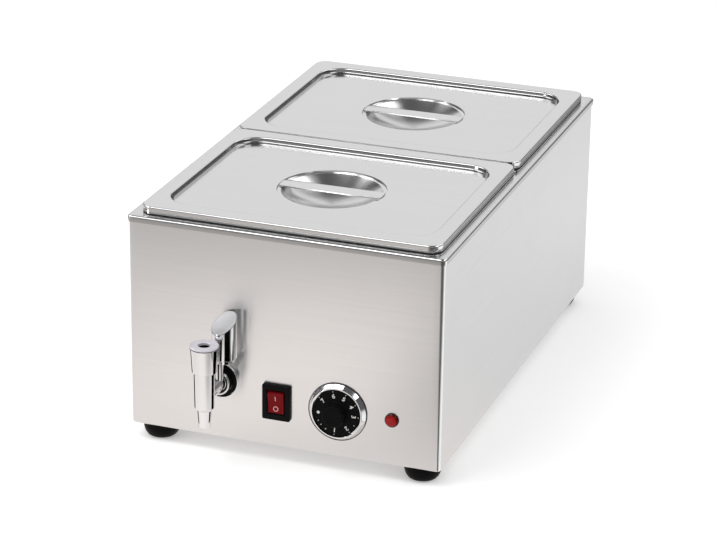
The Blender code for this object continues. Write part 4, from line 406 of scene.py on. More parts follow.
# Edge wear: paler colour where an edge stands out, broken up by noise.
WORN_RADIUS = 0.0006
wear, given, result = new_group(
    "edge_wear",
    (
        ("Colour", COLOUR, (0.5, 0.5, 0.5, 1)),
        ("Worn Colour", COLOUR, (0.8, 0.8, 0.8, 1)),
        ("Amount", VALUE, 0.5),
    ),
    (("Colour", COLOUR), ("Mask", VALUE)),
)
faced = add_node(wear, "ShaderNodeNewGeometry").outputs["Normal"]
rounded = add_node(wear, "ShaderNodeBevel", WORN_RADIUS).outputs[0]
alike = add_node(wear, "ShaderNodeVectorMath", faced, rounded, operation="DOT_PRODUCT").outputs["Value"]
patchy = ramp(wear, speckle(wear, given["Vector"], 220.0, 4.0), 0.35, 0.65)
worn = times(wear, times(wear, ramp(wear, alike, 0.98, 0.85), patchy), given["Amount"])
wear.links.new(blend_colours(wear, worn, given["Colour"], given["Worn Colour"]), result["Colour"])
wear.links.new(worn, result["Mask"])


def new_finish(name, colour, metallic, roughness, **plain):
    """A material whose plain values stand on the shader itself, with its tree and place."""
    finish = bpy.data.materials.new(name)
    finish.use_nodes = True
    shader = finish.node_tree.nodes["Principled BSDF"]
    shader.inputs["Base Color"].default_value = (*colour, 1)
    shader.inputs["Metallic"].default_value = metallic
    shader.inputs["Roughness"].default_value = roughness
    for label, value in plain.items():
        shader.inputs[label.replace("_", " ")].default_value = value
    place = add_node(finish.node_tree, "ShaderNodeTexCoord").outputs["Object"]
    return finish, finish.node_tree, place


def place_group(tree, group, vector, **values):
    """Places a shared group in a material, fed with a vector and its own values."""
    node = tree.nodes.new("ShaderNodeGroup")
    node.node_tree = group
    tree.links.new(vector, node.inputs["Vector"])
    for label, value in values.items():
        socket = node.inputs[label.replace("_", " ")]
        if isinstance(value, bpy.types.NodeSocket):
            tree.links.new(value, socket)
        else:
            socket.default_value = (*value, 1) if socket.type == "RGBA" else value
    return node.outputs


def feed(tree, label, source):
    """Links a source to an input of the material's shader."""
    tree.links.new(source, tree.nodes["Principled BSDF"].inputs[label])


def use_up(tree, place, colour, worn_colour, wear_amount, roughness, smudges):
    """Wears the edges of a finish and marks it with handling."""
    edged = place_group(tree, wear, place, Colour=colour, Worn_Colour=worn_colour, Amount=wear_amount)
    handled = place_group(tree, marks, place, Roughness=roughness, Amount=smudges)
    feed(tree, "Base Color", edged["Colour"])
    feed(tree, "Roughness", handled["Roughness"])


def add_bump(tree, height, distance):
    """Feeds a height to the shader's normal through a Bump node."""
    bump = tree.nodes.new("ShaderNodeBump")
    bump.inputs["Strength"].default_value = 1.0
    bump.inputs["Distance"].default_value = distance
    tree.links.new(height, bump.inputs["Height"])
    feed(tree, "Normal", bump.outputs[0])


def brushed_steel(name, tone, roughness, run, scratch=0.95, spread=0.05, smudges=0.025, depth=6e-6, **plain):
    """Stainless steel with a grain that is long where `run` is small."""
    colour = tone if isinstance(tone, tuple) else grey(tone)
    finish, tree, place = new_finish(name, colour, 1.0, roughness, **plain)
    mapping = add_node(tree, "ShaderNodeMapping", place)
    mapping.inputs["Scale"].default_value = run
    values = {"Colour": colour, "Scratch_Colour": [part * scratch for part in colour]}
    lines = place_group(tree, grain, mapping.outputs[0], Roughness=roughness, Spread=spread, **values)
    pale = [min(1, part * 1.12) for part in colour]
    use_up(tree, place, lines["Colour"], pale, 0.6, lines["Roughness"], smudges)
    add_bump(tree, lines["Height"], depth)
    return finish


DECK_Y = 0.02095
DECK_WIDE, DECK_LONG, DECK_TOP = 0.345, 0.550, 0.251
SKIRT, DECK_CORNER, RIM_ROUND = 0.0065, 0.006, 0.0025
WELL_WIDE, WELL_LONG, WELL_CORNER = 0.305, 0.510, 0.024
WELL_FLOOR, WELL_DRAFT, WELL_FOOT = 0.0985, 0.004, 0.012
MOUTH_ROUND = 0.003
SHEET = 0.001
deck_steel = brushed_steel("deck_steel", 0.78, 0.17, (5, 1300, 5), depth=3e-6)
tank = begin("water_tank_pressing")
blank(DECK_WIDE, DECK_LONG, DECK_CORNER, (0, DECK_Y, DECK_TOP - SKIRT), 9)
follow([(0, DECK_TOP - SKIRT)] + bend(RIM_ROUND, DECK_TOP - RIM_ROUND, RIM_ROUND, 180, 90))
open_face()
open_foot(DECK_TOP - SKIRT)
grown = 2 * MOUTH_ROUND
blank(WELL_WIDE + grown, WELL_LONG + grown, WELL_CORNER + MOUTH_ROUND, (0, DECK_Y, DECK_TOP), 9)
wall_foot = MOUTH_ROUND + WELL_DRAFT
well = bend(0, DECK_TOP - MOUTH_ROUND, MOUTH_ROUND, 90, 0)
well += bend(wall_foot + WELL_FOOT, WELL_FLOOR + WELL_FOOT, WELL_FOOT, 180, 270)
follow(well)
join_edges(at_height(DECK_TOP))
give_thickness(tank, SHEET)
hand_over(tank, deck_steel, nodes=["water_tank"])


def on_skirt(face):
    """Whether a face belongs to the outside of the deck's skirt."""
    beside = DECK_WIDE / 2 - abs(face.center.x) < SHEET / 2
    before = DECK_LONG / 2 - abs(face.center.y - DECK_Y) < SHEET / 2
    return (beside or before) and abs(face.normal.z) < 0.6


# Painted shade: the skirt's outside is a darker copy of the deck's steel, so it reads as a shaded band under
# the rolled rim.
refinish(tank, brushed_steel("painted_shade_skirt_steel", 0.60, 0.22, (5, 5, 1300)), on_skirt)

# Outer casing: the front and both sides are folded from one brushed sheet, with a small bend
# at each corner. Its back edges are turned in to take the back panel, and its lower edge to
# carry the bottom plate. The CAD's openings behind the fittings are left out here.
CASE_WIDE, CASE_FRONT, CASE_BACK = 0.342, -0.25255, 0.29315
CASE_BOTTOM, CASE_TOP = 0.0175, 0.2497
CASE_BEND, CASE_FOLD, CASE_LIP, LIP_SLACK = 0.0045, 0.0022, 0.012, 0.0002
FOLDED = {"Anisotropic": 0.7, "Anisotropic_Rotation": 0.25}
casing_steel = brushed_steel("casing_steel", 0.79, 0.24, (4, 4, 1500), 0.97, 0.03, depth=3e-6, **FOLDED)


def draw_in(section, wide, long, middle=(0, 0, 0)):
    """Carries the selected edge along a section of (inward, height) points."""
    for (inward, height), (next_inward, next_height) in zip(section, section[1:]):
        raise_by(next_height - height)
        across = (wide / 2 - next_inward) / (wide / 2 - inward)
        along = (long / 2 - next_inward) / (long / 2 - inward)
        bpy.ops.transform.resize(value=(across, along, 1), center_override=middle)


casing = begin("outer_casing_sheet")
case_long, case_y = CASE_BACK - CASE_FRONT, (CASE_BACK + CASE_FRONT) / 2
fold_top = CASE_BOTTOM + CASE_FOLD
blank(CASE_WIDE, case_long, CASE_BEND, (0, case_y, fold_top), 10)
follow([(0, fold_top), (0, CASE_TOP)])
open_face()
open_foot(fold_top)
pick(at_height(fold_top))
fold = bend(CASE_FOLD, fold_top, CASE_FOLD, 180, 270, 4) + [(CASE_LIP, CASE_BOTTOM)]
draw_in(fold, CASE_WIDE, case_long, (0, case_y, 0))
for side in (-1, 1):
    bpy.ops.mesh.select_all(action="SELECT")
    bpy.ops.mesh.bisect(plane_co=(side * (CASE_WIDE / 2 - CASE_LIP), 0, 0), plane_no=(1, 0, 0))
bpy.ops.mesh.select_all(action="DESELECT")
shape = bmesh.from_edit_mesh(casing.data)
for face in shape.faces:
    middle = face.calc_center_median()
    if abs(middle.x) < CASE_WIDE / 2 - CASE_LIP and CASE_BACK - CASE_LIP - LIP_SLACK < middle.y:
        face.select_set(True)
bmesh.update_edit_mesh(casing.data)
bpy.ops.mesh.delete(type="FACE")
give_thickness(casing, SHEET, lambda face: -face.calc_center_median().y, (0, -1, 0))
hand_over(casing, casing_steel, nodes=["outer_casing"])

# Back panel and bottom plate: a steel sheet with its foot turned in, and a shallow tray with
# vent slots that lies on the casing's lower edge. With the bar across the well and its
# angles they keep the CAD's shapes in a satin finish.
plain_steel = brushed_steel("plain_steel", (0.62, 0.615, 0.61), 0.33, (1300, 5, 5))


def dress(material, *nodes):
    """Gives CAD nodes that stay in view their finish."""
    for node in nodes:
        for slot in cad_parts[node].material_slots:
            slot.material = material


dress(plain_steel, "back_panel", "bottom_plate", "pan_support_bar", "bar_bracket_left", "bar_bracket_right")


# Back panel screws: zinc-plated pan heads with a cross recess, driven through the panel into
# the casing's turned edges, one near each corner.
def turn_up(name, section, sides=64):
    """A turned piece about the upright axis, from (radius, height) points. A section that
    ends where it starts leaves the middle open."""
    piece = begin(name)
    fill = "NOTHING" if section[0] == section[-1] else "NGON"
    radius, height = section[0]
    bpy.ops.mesh.primitive_circle_add(vertices=sides, radius=radius, fill_type=fill, location=(0, 0, height))
    for (radius, height), (next_radius, next_height) in zip(section, section[1:]):
        raise_by(next_height - height)
        if next_radius == 0:
            bpy.ops.mesh.merge(type="CENTER")
        else:
            scale = next_radius / radius
            bpy.ops.transform.resize(value=(scale, scale, 1), center_override=(0, 0, 0))
    bpy.ops.mesh.select_all(action="SELECT")
    bpy.ops.mesh.remove_doubles(threshold=MERGE)
    bpy.ops.mesh.normals_make_consistent(inside=False)
    return piece


def cut_with(piece, cutter, how="DIFFERENCE"):
    """Applies another shape to a piece and takes that shape away."""
    set_apart()
    bpy.context.view_layer.objects.active = piece
    piece.select_set(True)
    tool = piece.modifiers.new("cut", "BOOLEAN")
    tool.operation = how
    tool.solver = "EXACT"
    tool.object = cutter
    bpy.ops.object.modifier_apply(modifier="cut")
    bpy.data.objects.remove(cutter)


def add_block(name, size, middle=(0, 0, 0)):
    """A plain block, for cutting with and for thin flat shapes."""
    block = begin(name)
    bpy.ops.mesh.primitive_cube_add(size=1, location=middle)
    bpy.ops.transform.resize(value=size, center_override=middle)
    set_apart()
    return block


def plated(name, colour, roughness):
    """Zinc or nickel plating with a faint cloudy bloom."""
    finish, tree, place = new_finish(name, colour, 1.0, roughness)
    bloom = speckle(tree, place, 420.0, 4.0)
    cloudy = blend_colours(tree, bloom, [part * 0.8 for part in colour], colour)
    use_up(tree, place, cloudy, grey(0.8), 0.5, roughness, 0.12)
    add_bump(tree, bloom, 0.00003)
    return finish


PANEL_BACK = 0.29445
GAP = 0.0003
HEAD_RADIUS, HEAD_HEIGHT, HEAD_ROUND = 0.004, 0.0024, 0.0014
SHANK_RADIUS, SHANK_LENGTH = 0.002, 0.008
RECESS_LONG, RECESS_WIDE, RECESS_DEEP = 0.0042, 0.0009, 0.0014
TO_BACK = (math.radians(-90), 0, 0)
zinc = plated("zinc_plating", (0.62, 0.63, 0.65), 0.32)
screw_section = [(SHANK_RADIUS, -SHANK_LENGTH), (SHANK_RADIUS, 0), (HEAD_RADIUS, 0)]
screw_section += bend(HEAD_RADIUS - HEAD_ROUND, HEAD_HEIGHT - HEAD_ROUND, HEAD_ROUND, 0, 90)
for corner in ("bottom_left", "bottom_right", "top_left", "top_right"):
    low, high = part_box("back_screw_" + corner)
    screw = turn_up("back_screw_head_" + corner, screw_section, 32)
    for wide, long in ((RECESS_LONG, RECESS_WIDE), (RECESS_WIDE, RECESS_LONG)):
        cut_with(screw, add_block("recess", (wide, long, 2 * RECESS_DEEP), (0, 0, HEAD_HEIGHT)))
    spot = ((low[0] + high[0]) / 2, PANEL_BACK + GAP, (low[2] + high[2]) / 2)
    hand_over(screw, zinc, nodes=["back_screw_" + corner], place=spot, turn=TO_BACK)


# Feet: moulded black rubber, drawn in towards the base. Each is held by a screw that is sunk
# in its hollow middle, and has a boss on top that stands under the bottom plate.
def soft_black(name, colour, roughness, grit, depth):
    """Moulded rubber or plastic with a fine grain and slightly greyed edges."""
    finish, tree, place = new_finish(name, colour, 0.0, roughness, Specular_IOR_Level=0.06)
    texture = speckle(tree, place, grit, 3.0)
    mottled = blend_colours(tree, texture, colour, [part * 1.4 + 0.001 for part in colour])
    use_up(tree, place, mottled, [part * 2 + 0.05 for part in colour], 0.4, roughness, 0.15)
    add_bump(tree, texture, depth)
    return finish


def lower_edge(radius, height, cut):
    """Two points of a turned section that cut off a lower outer edge."""
    return [(radius - cut, height), (radius, height + cut)]


def upper_edge(radius, height, cut):
    """Two points of a turned section that cut off an upper outer edge."""
    return [(radius, height - cut), (radius - cut, height)]


FOOT_TOP, FOOT_EDGE = 0.0172, 0.0006
FOOT_RADIUS, FOOT_BASE, FOOT_SIDE_HEIGHT, SIDE_STEPS = 0.0196, 0.0122, 0.0135, 10
BOSS_RADIUS, BOSS_TOP = 0.008, 0.0185
SUNK_RADIUS, SUNK_DEPTH, FOOT_HOLE = 0.0062, 0.010, 0.0028
rubber = soft_black("foot_rubber", grey(0.003), 0.42, 900.0, 0.00003)
foot_section = [(FOOT_HOLE, SUNK_DEPTH), (SUNK_RADIUS, SUNK_DEPTH), (SUNK_RADIUS, 0), (FOOT_BASE, 0)]
for step in range(1, SIDE_STEPS + 1):
    turn = math.pi / 2 * step / SIDE_STEPS
    radius = FOOT_BASE + (FOOT_RADIUS - FOOT_BASE) * math.sin(turn)
    foot_section.append((radius, FOOT_SIDE_HEIGHT * (1 - math.cos(turn))))
foot_section += upper_edge(FOOT_RADIUS, FOOT_TOP, FOOT_EDGE)
foot_section += [(BOSS_RADIUS, FOOT_TOP), (BOSS_RADIUS, BOSS_TOP), (FOOT_HOLE, BOSS_TOP)]
foot_section.append(foot_section[0])
for corner in ("front_left", "front_right", "back_left", "back_right"):
    low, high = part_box("foot_" + corner)
    foot = turn_up("rubber_foot_" + corner, foot_section, 48)
    spot = ((low[0] + high[0]) / 2, (low[1] + high[1]) / 2, 0)
    hand_over(foot, rubber, nodes=["foot_" + corner], place=spot, sharp=40)
    dress(zinc, "foot_screw_" + corner)

# Pans: two half-size food pans, deep-drawn from satin stainless sheet, hung in the well by
# their flanged rims. The foot of each rim is painted near black, as painted shadow under the rim.
PAN_WIDE, PAN_LONG, PAN_TOP = 0.3245, 0.264, 0.2545
PAN_RIM, PAN_RIM_CORNER, PAN_RIM_ROUND = 0.0032, 0.013, 0.0014
PAN_FLANGE, RIM_SHADOW, RIM_REACH = 0.0125, 0.0009, 0.004
PAN_CORNER, PAN_DEEP, PAN_TAPER = 0.034, 0.100, 0.010
PAN_FOOT, PAN_SHEET = 0.014, 0.0009
PAN_Y = {"front": -0.1118, "back": 0.1537}
pan_steel = brushed_steel("pan_steel", 0.72, 0.18, (5, 1200, 5))
# Near black plating that paints shade: on the pans' rim feet, the lids' step lines and facing skirts, the
# dial ring's lip and the cap's foot.
painted_shade_line = plated("painted_shade_plating", (0.045, 0.044, 0.043), 0.35)


def at_rim_foot(face, y):
    """Whether a face belongs to the upright foot of a pan's rim."""
    upright = abs(face.normal.z) < 0.15 and abs(face.center.z - PAN_TOP + PAN_RIM) < RIM_SHADOW
    beside = PAN_WIDE / 2 - abs(face.center.x) < RIM_REACH
    before = PAN_LONG / 2 - abs(face.center.y - y) < RIM_REACH
    return upright and (beside or before)


for end, y in PAN_Y.items():
    pan = begin("food_pan_" + end)
    rim_foot = PAN_TOP - PAN_RIM
    blank(PAN_WIDE, PAN_LONG, PAN_RIM_CORNER, (0, y, rim_foot), 11)
    rim = bend(PAN_RIM_ROUND, PAN_TOP - PAN_RIM_ROUND, PAN_RIM_ROUND, 180, 90)
    follow([(0, rim_foot), (0, rim_foot + RIM_SHADOW)] + rim)
    open_face()
    open_foot(rim_foot)
    shrink = 2 * (PAN_FLANGE - MOUTH_ROUND)
    blank(PAN_WIDE - shrink, PAN_LONG - shrink, PAN_CORNER + MOUTH_ROUND, (0, y, PAN_TOP), 11)
    foot_in = MOUTH_ROUND + PAN_TAPER + PAN_FOOT
    inside = bend(0, PAN_TOP - MOUTH_ROUND, MOUTH_ROUND, 90, 0)
    inside += bend(foot_in, PAN_TOP - PAN_DEEP + PAN_FOOT, PAN_FOOT, 180, 270)
    follow(inside)
    join_edges(at_height(PAN_TOP))
    give_thickness(pan, PAN_SHEET)
    hand_over(pan, pan_steel, end + "_pan", ["pan_" + end])
    # Painted shadow: the upright foot of the rim takes the near black plating.
    refinish(pan, painted_shade_line, lambda face: at_rim_foot(face, y))

# Lids: pressed from satin sheet with a raised border, a sunk panel, and a bright polished
# dish for the fingers, with a ledge round it. The step down to the panel is a darker steel below
# its shoulder as painted shade, under a painted dark line; the two skirts that face each other
# are painted near black, as painted shadow in the gap between the lids.
LID_WIDE, LID_LONG = 0.325, 0.2645
LID_EDGE, LID_TOP, LID_PANEL = 0.2548, 0.2596, 0.2541
LID_CORNER, LID_ROUND, LID_SHEET = 0.0135, 0.0016, 0.0009
BORDER_SIDE, BORDER_END = 0.0175, 0.0205
PANEL_CORNER, PANEL_SLOPE, STEP_LINE, STEP_FOOT = 0.030, 0.0004, 0.0005, 0.0030
JOINT_REACH, JOINT_DEPTH = 0.002, 0.0006
LEDGE_OUTER, LEDGE_INNER = 0.05825, 0.05375
LEDGE_Z, LEDGE_SLOPE = 0.2526, 0.0007
DISH_FLOOR, BOWL_EDGE, BOWL_STEPS = 0.2371, 0.0006, 16
lid_steel = brushed_steel("lid_steel", 0.79, 0.15, (5, 1300, 5), 0.97, 0.03, depth=1.5e-6)
# A darker copy of the lid's steel, as painted shade on the step's wall.
painted_shade_step_steel = brushed_steel("painted_shade_step_steel", 0.47, 0.18, (5, 5, 1300), depth=1.5e-6)
SPUN = {"Anisotropic": 0.8, "Anisotropic_Rotation": 0.25}
dish_steel = brushed_steel("dish_steel", 0.73, 0.21, (60, 60, 60), 0.98, 0.03, 0.02, 2e-6, **SPUN)
DISHED, DARK, STEPPED = 1, 2, 3
TURNED_IN, PAST_LEDGE = -0.02, 0.001
for end, y in PAN_Y.items():
    lid = begin("pressed_lid_" + end)
    blank(LID_WIDE, LID_LONG, LID_CORNER, (0, y, LID_EDGE), 15)
    follow([(0, LID_EDGE)] + bend(LID_ROUND, LID_TOP - LID_ROUND, LID_ROUND, 180, 90))
    open_face()
    open_foot(LID_EDGE)
    wide = LID_WIDE - 2 * (BORDER_SIDE - LID_ROUND)
    long = LID_LONG - 2 * (BORDER_END - LID_ROUND)
    blank(wide, long, PANEL_CORNER + LID_ROUND, (0, y, LID_TOP), 15)
    down = bend(0, LID_TOP - LID_ROUND, LID_ROUND, 90, 5)
    shoulder_in, shoulder_z = down[-1]
    down.append((shoulder_in + PANEL_SLOPE / 4, shoulder_z - STEP_LINE))
    down += bend(shoulder_in + PANEL_SLOPE + STEP_FOOT, LID_PANEL + STEP_FOOT, STEP_FOOT, 185, 270, 10)
    follow(down)
    open_face()
    join_edges(at_height(LID_TOP))
    bpy.ops.mesh.select_all(action="DESELECT")
    centre = (0, y, LID_PANEL)
    bpy.ops.mesh.primitive_circle_add(vertices=64, radius=LEDGE_OUTER, fill_type="NGON", location=centre)
    ledge_end = LEDGE_OUTER - LEDGE_INNER
    dish = [(0, LID_PANEL), (LEDGE_SLOPE, LEDGE_Z), (ledge_end, LEDGE_Z)]
    dish.append((ledge_end + BOWL_EDGE, LEDGE_Z - BOWL_EDGE))
    for step in range(1, BOWL_STEPS):
        left = 1 - step / BOWL_STEPS
        rise = (LEDGE_Z - BOWL_EDGE - DISH_FLOOR) * left**2
        dish.append((LEDGE_OUTER - (LEDGE_INNER - BOWL_EDGE) * left, DISH_FLOOR + rise))
    follow(dish)
    join_edges(at_height(LID_PANEL))
    give_thickness(lid, LID_SHEET)
    hand_over(lid, lid_steel, end + "_lid", ["lid_" + end], sharp=35)
    flats = lid.modifiers.new("flats", "WEIGHTED_NORMAL")
    flats.keep_sharp = True
    bpy.ops.object.modifier_apply(modifier="flats")
    for finish in (dish_steel, painted_shade_line, painted_shade_step_steel):
        lid.data.materials.append(finish)
    for face in lid.data.polygons:
        middle = face.center
        from_dish = math.hypot(middle.x, middle.y - y)
        faces_in = middle.x * face.normal.x + (middle.y - y) * face.normal.y < TURNED_IN
        beyond_ledge = LEDGE_OUTER + PAST_LEDGE < from_dish
        to_joint = (1 if end == "front" else -1) * (middle.y - y)
        if from_dish < LEDGE_INNER:
            face.material_index = DISHED
        # Painted shade: the step's wall below the shoulder takes the darker step steel.
        if faces_in and beyond_ledge and LID_PANEL + 5 * NEAR < middle.z < shoulder_z:
            face.material_index = STEPPED
        # Painted shade: a near black line just under the shoulder.
        if faces_in and abs(middle.z - shoulder_z + STEP_LINE / 2) < STEP_LINE / 4:
            face.material_index = DARK
        # Painted shadow: the skirts that face the other lid are near black.
        if LID_LONG / 2 - JOINT_REACH < to_joint and middle.z < LID_TOP - JOINT_DEPTH:
            face.material_index = DARK

# Lid grips: flat straps of polished steel across the dishes, cut to shape with rounded
# edges. Their round ends lie on the dish's ledge.
GRIP_WIDE, GRIP_REACH, GRIP_SHEET, GRIP_ROUND = 0.0185, 0.05695, 0.0018, 0.0005
strap_steel = brushed_steel("strap_steel", 0.82, 0.17, (40, 900, 900), 0.95)


def ease_edges(piece, width, angle):
    """Rounds a piece's edges that are sharper than an angle in degrees."""
    bpy.ops.mesh.select_all(action="SELECT")
    bpy.ops.mesh.normals_make_consistent(inside=False)
    bpy.ops.object.mode_set(mode="OBJECT")
    edge = piece.modifiers.new("edge", "BEVEL")
    edge.width = width
    edge.segments = 3
    edge.angle_limit = math.radians(angle)
    bpy.ops.object.modifier_apply(modifier="edge")


for end, y in PAN_Y.items():
    strap = begin("lid_strap_" + end)
    centre = (0, y, LEDGE_Z + GAP)
    bpy.ops.mesh.primitive_circle_add(vertices=128, radius=GRIP_REACH, fill_type="NGON", location=centre)
    for side in (-1, 1):
        bpy.ops.mesh.select_all(action="SELECT")
        cut = (0, y + side * GRIP_WIDE / 2, 0)
        bpy.ops.mesh.bisect(plane_co=cut, plane_no=(0, side, 0), clear_outer=True)
    bpy.ops.mesh.select_all(action="SELECT")
    raise_by(GRIP_SHEET)
    ease_edges(strap, GRIP_ROUND, 50)
    hand_over(strap, strap_steel, end + "_lid", ["lid_grip_" + end], sharp=40)

# Rocker switch: a moulded black case with a bezel, snapped into the front from outside. The
# bezel's mouth steps down to a slot in which the rocker tips.
CONTROL_Z, SWITCH_X = 0.068, -0.0067
BEZEL_WIDE, BEZEL_HIGH, BEZEL_DEEP = 0.0305, 0.039, 0.0042
BEZEL_ROUND, BEZEL_CORNER = 0.0012, 0.0018
MOUTH_WIDE, MOUTH_HIGH, MOUTH_CORNER = 0.0215, 0.0292, 0.0008
SLOT_WIDE, SLOT_HIGH, SLOT_CORNER = 0.0181, 0.0258, 0.0004
SLOT_STEP, SLOT_DEEP = 0.0018, 0.0085
BODY_WIDE, BODY_HIGH, BODY_DEEP, BODY_CORNER = 0.0265, 0.0345, 0.024, 0.001
CLEAR = 0.0005
TO_FRONT = (math.radians(90), 0, 0)
black = soft_black("switch_black", grey(0.004), 0.30, 1500.0, 0.00001)


def on_bezel_edge(point):
    """Whether a point lies on the bezel's back edge, outside the switch's case."""
    beyond = abs(point.x) > BODY_WIDE / 2 + CLEAR or abs(point.y) > BODY_HIGH / 2 + CLEAR
    return abs(point.z - GAP) < NEAR and beyond


def in_mouth(point):
    """Whether a point lies on the edge of the bezel's mouth, or of the slot below it."""
    inside = abs(point.x) < MOUTH_WIDE / 2 + NEAR and abs(point.y) < MOUTH_HIGH / 2 + NEAR
    return inside and BEZEL_DEEP - SLOT_STEP - NEAR < point.z


bezel = begin("switch_bezel")
blank(BODY_WIDE, BODY_HIGH, BODY_CORNER, (0, 0, -BODY_DEEP), 4)
follow([(0, -BODY_DEEP), (0, GAP)])
open_face()
blank(BEZEL_WIDE, BEZEL_HIGH, BEZEL_CORNER, (0, 0, GAP), 4)
open_face()
join_edges(at_height(GAP))
pick(on_bezel_edge)
raise_by(BEZEL_DEEP - GAP - BEZEL_ROUND)
shoulder = bend(BEZEL_ROUND, BEZEL_DEEP - BEZEL_ROUND, BEZEL_ROUND, 180, 90, 4)
draw_in(shoulder, BEZEL_WIDE, BEZEL_HIGH)
blank(MOUTH_WIDE, MOUTH_HIGH, MOUTH_CORNER, (0, 0, BEZEL_DEEP), 4)
open_face()
join_edges(at_height(BEZEL_DEEP))
blank(SLOT_WIDE, SLOT_HIGH, SLOT_CORNER, (0, 0, BEZEL_DEEP - SLOT_STEP), 4)
follow([(0, BEZEL_DEEP - SLOT_STEP), (0, BEZEL_DEEP - SLOT_DEEP)])
join_edges(in_mouth)
bpy.ops.mesh.select_all(action="SELECT")
bpy.ops.mesh.normals_make_consistent(inside=False)
switch_place = (SWITCH_X, CASE_FRONT, CONTROL_Z)
hand_over(bezel, black, nodes=["switch_housing"], place=switch_place, turn=TO_FRONT)

# Rocker: one dark red moulding with a hollow face between two tips. It turns on a pin across
# the case, behind its face, and is shown with its lower end pressed in.
ROCKER_WIDE, ROCKER_RADIUS, ROCKER_EDGE = 0.0173, 0.0125, 0.0005
ROCKER_CREST, ROCKER_TIP, ROCKER_HEEL = 0.0050, 0.0066, 0.0045
PIVOT_DEPTH, ROCKER_TILT = 0.0012, math.radians(7)
HEEL_STEPS, FACE_STEPS = 8, 12
tip_turn, heel_turn = math.asin(ROCKER_TIP / ROCKER_RADIUS), -math.asin(ROCKER_HEEL / ROCKER_RADIUS)
tip_high = ROCKER_RADIUS * math.cos(tip_turn)
profile = []
for step in range(FACE_STEPS + 1):
    share = 1 - 2 * step / FACE_STEPS
    profile.append((tip_high * share, ROCKER_CREST + (ROCKER_TIP - ROCKER_CREST) * share**2))
for side, order in ((-1, range(1, HEEL_STEPS + 1)), (1, range(HEEL_STEPS, 0, -1))):
    for step in order:
        turn = tip_turn + (heel_turn - tip_turn) * step / HEEL_STEPS
        profile.append((side * ROCKER_RADIUS * math.cos(turn), ROCKER_RADIUS * math.sin(turn)))
rocker = begin("switch_rocker_cap")
bpy.ops.mesh.primitive_circle_add(vertices=len(profile), radius=ROCKER_RADIUS, fill_type="NGON")
shape = bmesh.from_edit_mesh(rocker.data)
shape.verts.ensure_lookup_table()
for point, (high, out) in zip(shape.verts, profile):
    point.co = (-ROCKER_WIDE / 2, high, out)
bmesh.update_edit_mesh(rocker.data)
bpy.ops.mesh.extrude_region_move(TRANSFORM_OT_translate={"value": (ROCKER_WIDE, 0, 0)})
ease_edges(rocker, ROCKER_EDGE, 40)
rocker_red = soft_black("rocker_red", (0.155, 0.004, 0.006), 0.25, 900.0, 0.00001)
pivot = (SWITCH_X, CASE_FRONT + PIVOT_DEPTH, CONTROL_Z)
tilted = (math.radians(90) + ROCKER_TILT, 0, 0)
hand_over(rocker, rocker_red, "rocker", ["switch_rocker"], pivot, tilted, 40)


# Rocker's marks: an I above and an O below, printed on the hollow face in pale pink ink, a
# few hundredths of a millimetre thick.
def ink(name, colour):
    """Printing ink, slightly uneven."""
    finish, tree, place = new_finish(name, colour, 0.0, 0.5)
    thin = blend_colours(tree, speckle(tree, place, 1800.0), [part * 0.8 for part in colour], colour)
    feed(tree, "Base Color", thin)
    return finish


INK = 0.00006
I_HIGH, I_WIDE, O_RADIUS, O_LINE = 0.0066, 0.0009, 0.0029, 0.0009
MARK_HEIGHTS = {"I": 0.0060, "O": -0.0060}
pink_ink = ink("pink_ink", (0.85, 0.42, 0.40))
for mark, height in MARK_HEIGHTS.items():
    out = ROCKER_CREST + (ROCKER_TIP - ROCKER_CREST) * (height / tip_high) ** 2
    lean = math.atan(2 * (ROCKER_TIP - ROCKER_CREST) * height / tip_high**2)
    if mark == "I":
        printed = add_block("rocker_mark_I", (I_WIDE, I_HIGH, 4 * INK))
    else:
        inner = O_RADIUS - O_LINE
        section = [(inner, -INK), (O_RADIUS, -INK), (O_RADIUS, 2 * INK), (inner, 2 * INK), (inner, -INK)]
        printed = turn_up("rocker_mark_O", section, 40)
    settle(printed, (0, height, out), (lean, 0, 0))
    hand_over(printed, pink_ink, "rocker", (), pivot, tilted)

# Thermostat dial's ring: a shallow cone of chromed brass, fixed to the front. Its floor lies
# behind the knob, and its outer lip is turned under and painted near black, as painted shade.
DIAL_X = 0.060
RING_BASE, RING_FRONT, RING_BORE, FLOOR_HOLE = 0.0318, 0.0276, 0.0263, 0.006
RING_DEEP, RING_LIP, RING_LIP_DEEP, RING_FLOOR = 0.0056, 0.0008, 0.0009, 0.0008
RING_EDGE, RING_ROUND, BORE_EDGE, RING_LIP_SLOPE = 0.0004, 0.0009, 0.0003, 0.0001


def bright_chrome(name, roughness=0.045):
    """Chrome plating: bright and bluish-neutral."""
    colour = (0.82, 0.83, 0.84)
    finish, tree, place = new_finish(name, colour, 1.0, roughness)
    use_up(tree, place, colour, grey(0.9), 0.4, roughness, 0.05)
    return finish


chrome = bright_chrome("bright_chrome")
ring_section = [(FLOOR_HOLE, GAP)] + lower_edge(RING_BASE, GAP, RING_EDGE)
lip_z = GAP + RING_LIP_DEEP
ring_section += [(RING_BASE, lip_z), (RING_BASE - RING_LIP, lip_z + RING_LIP_SLOPE)]
ring_section += bend(RING_FRONT - BORE_EDGE, RING_DEEP - RING_ROUND, RING_ROUND, 30, 90, 4)
ring_section += [(RING_BORE + BORE_EDGE, RING_DEEP), (RING_BORE, RING_DEEP - BORE_EDGE)]
ring_section += [(RING_BORE, GAP + RING_FLOOR), (FLOOR_HOLE, GAP + RING_FLOOR), (FLOOR_HOLE, GAP)]
ring = turn_up("dial_ring", ring_section, 96)
dial_place = (DIAL_X, CASE_FRONT, CONTROL_Z)
hand_over(ring, chrome, nodes=["dial_bezel"], place=dial_place, turn=TO_FRONT, sharp=25)


def on_ring_lip(face):
    """Whether a face belongs to the ring's outer lip."""
    return RING_BASE - RING_LIP < math.hypot(face.center.x - DIAL_X, face.center.z - CONTROL_Z)


# Painted shade: the outer lip takes the near black plating.
refinish(ring, painted_shade_line, on_ring_lip)

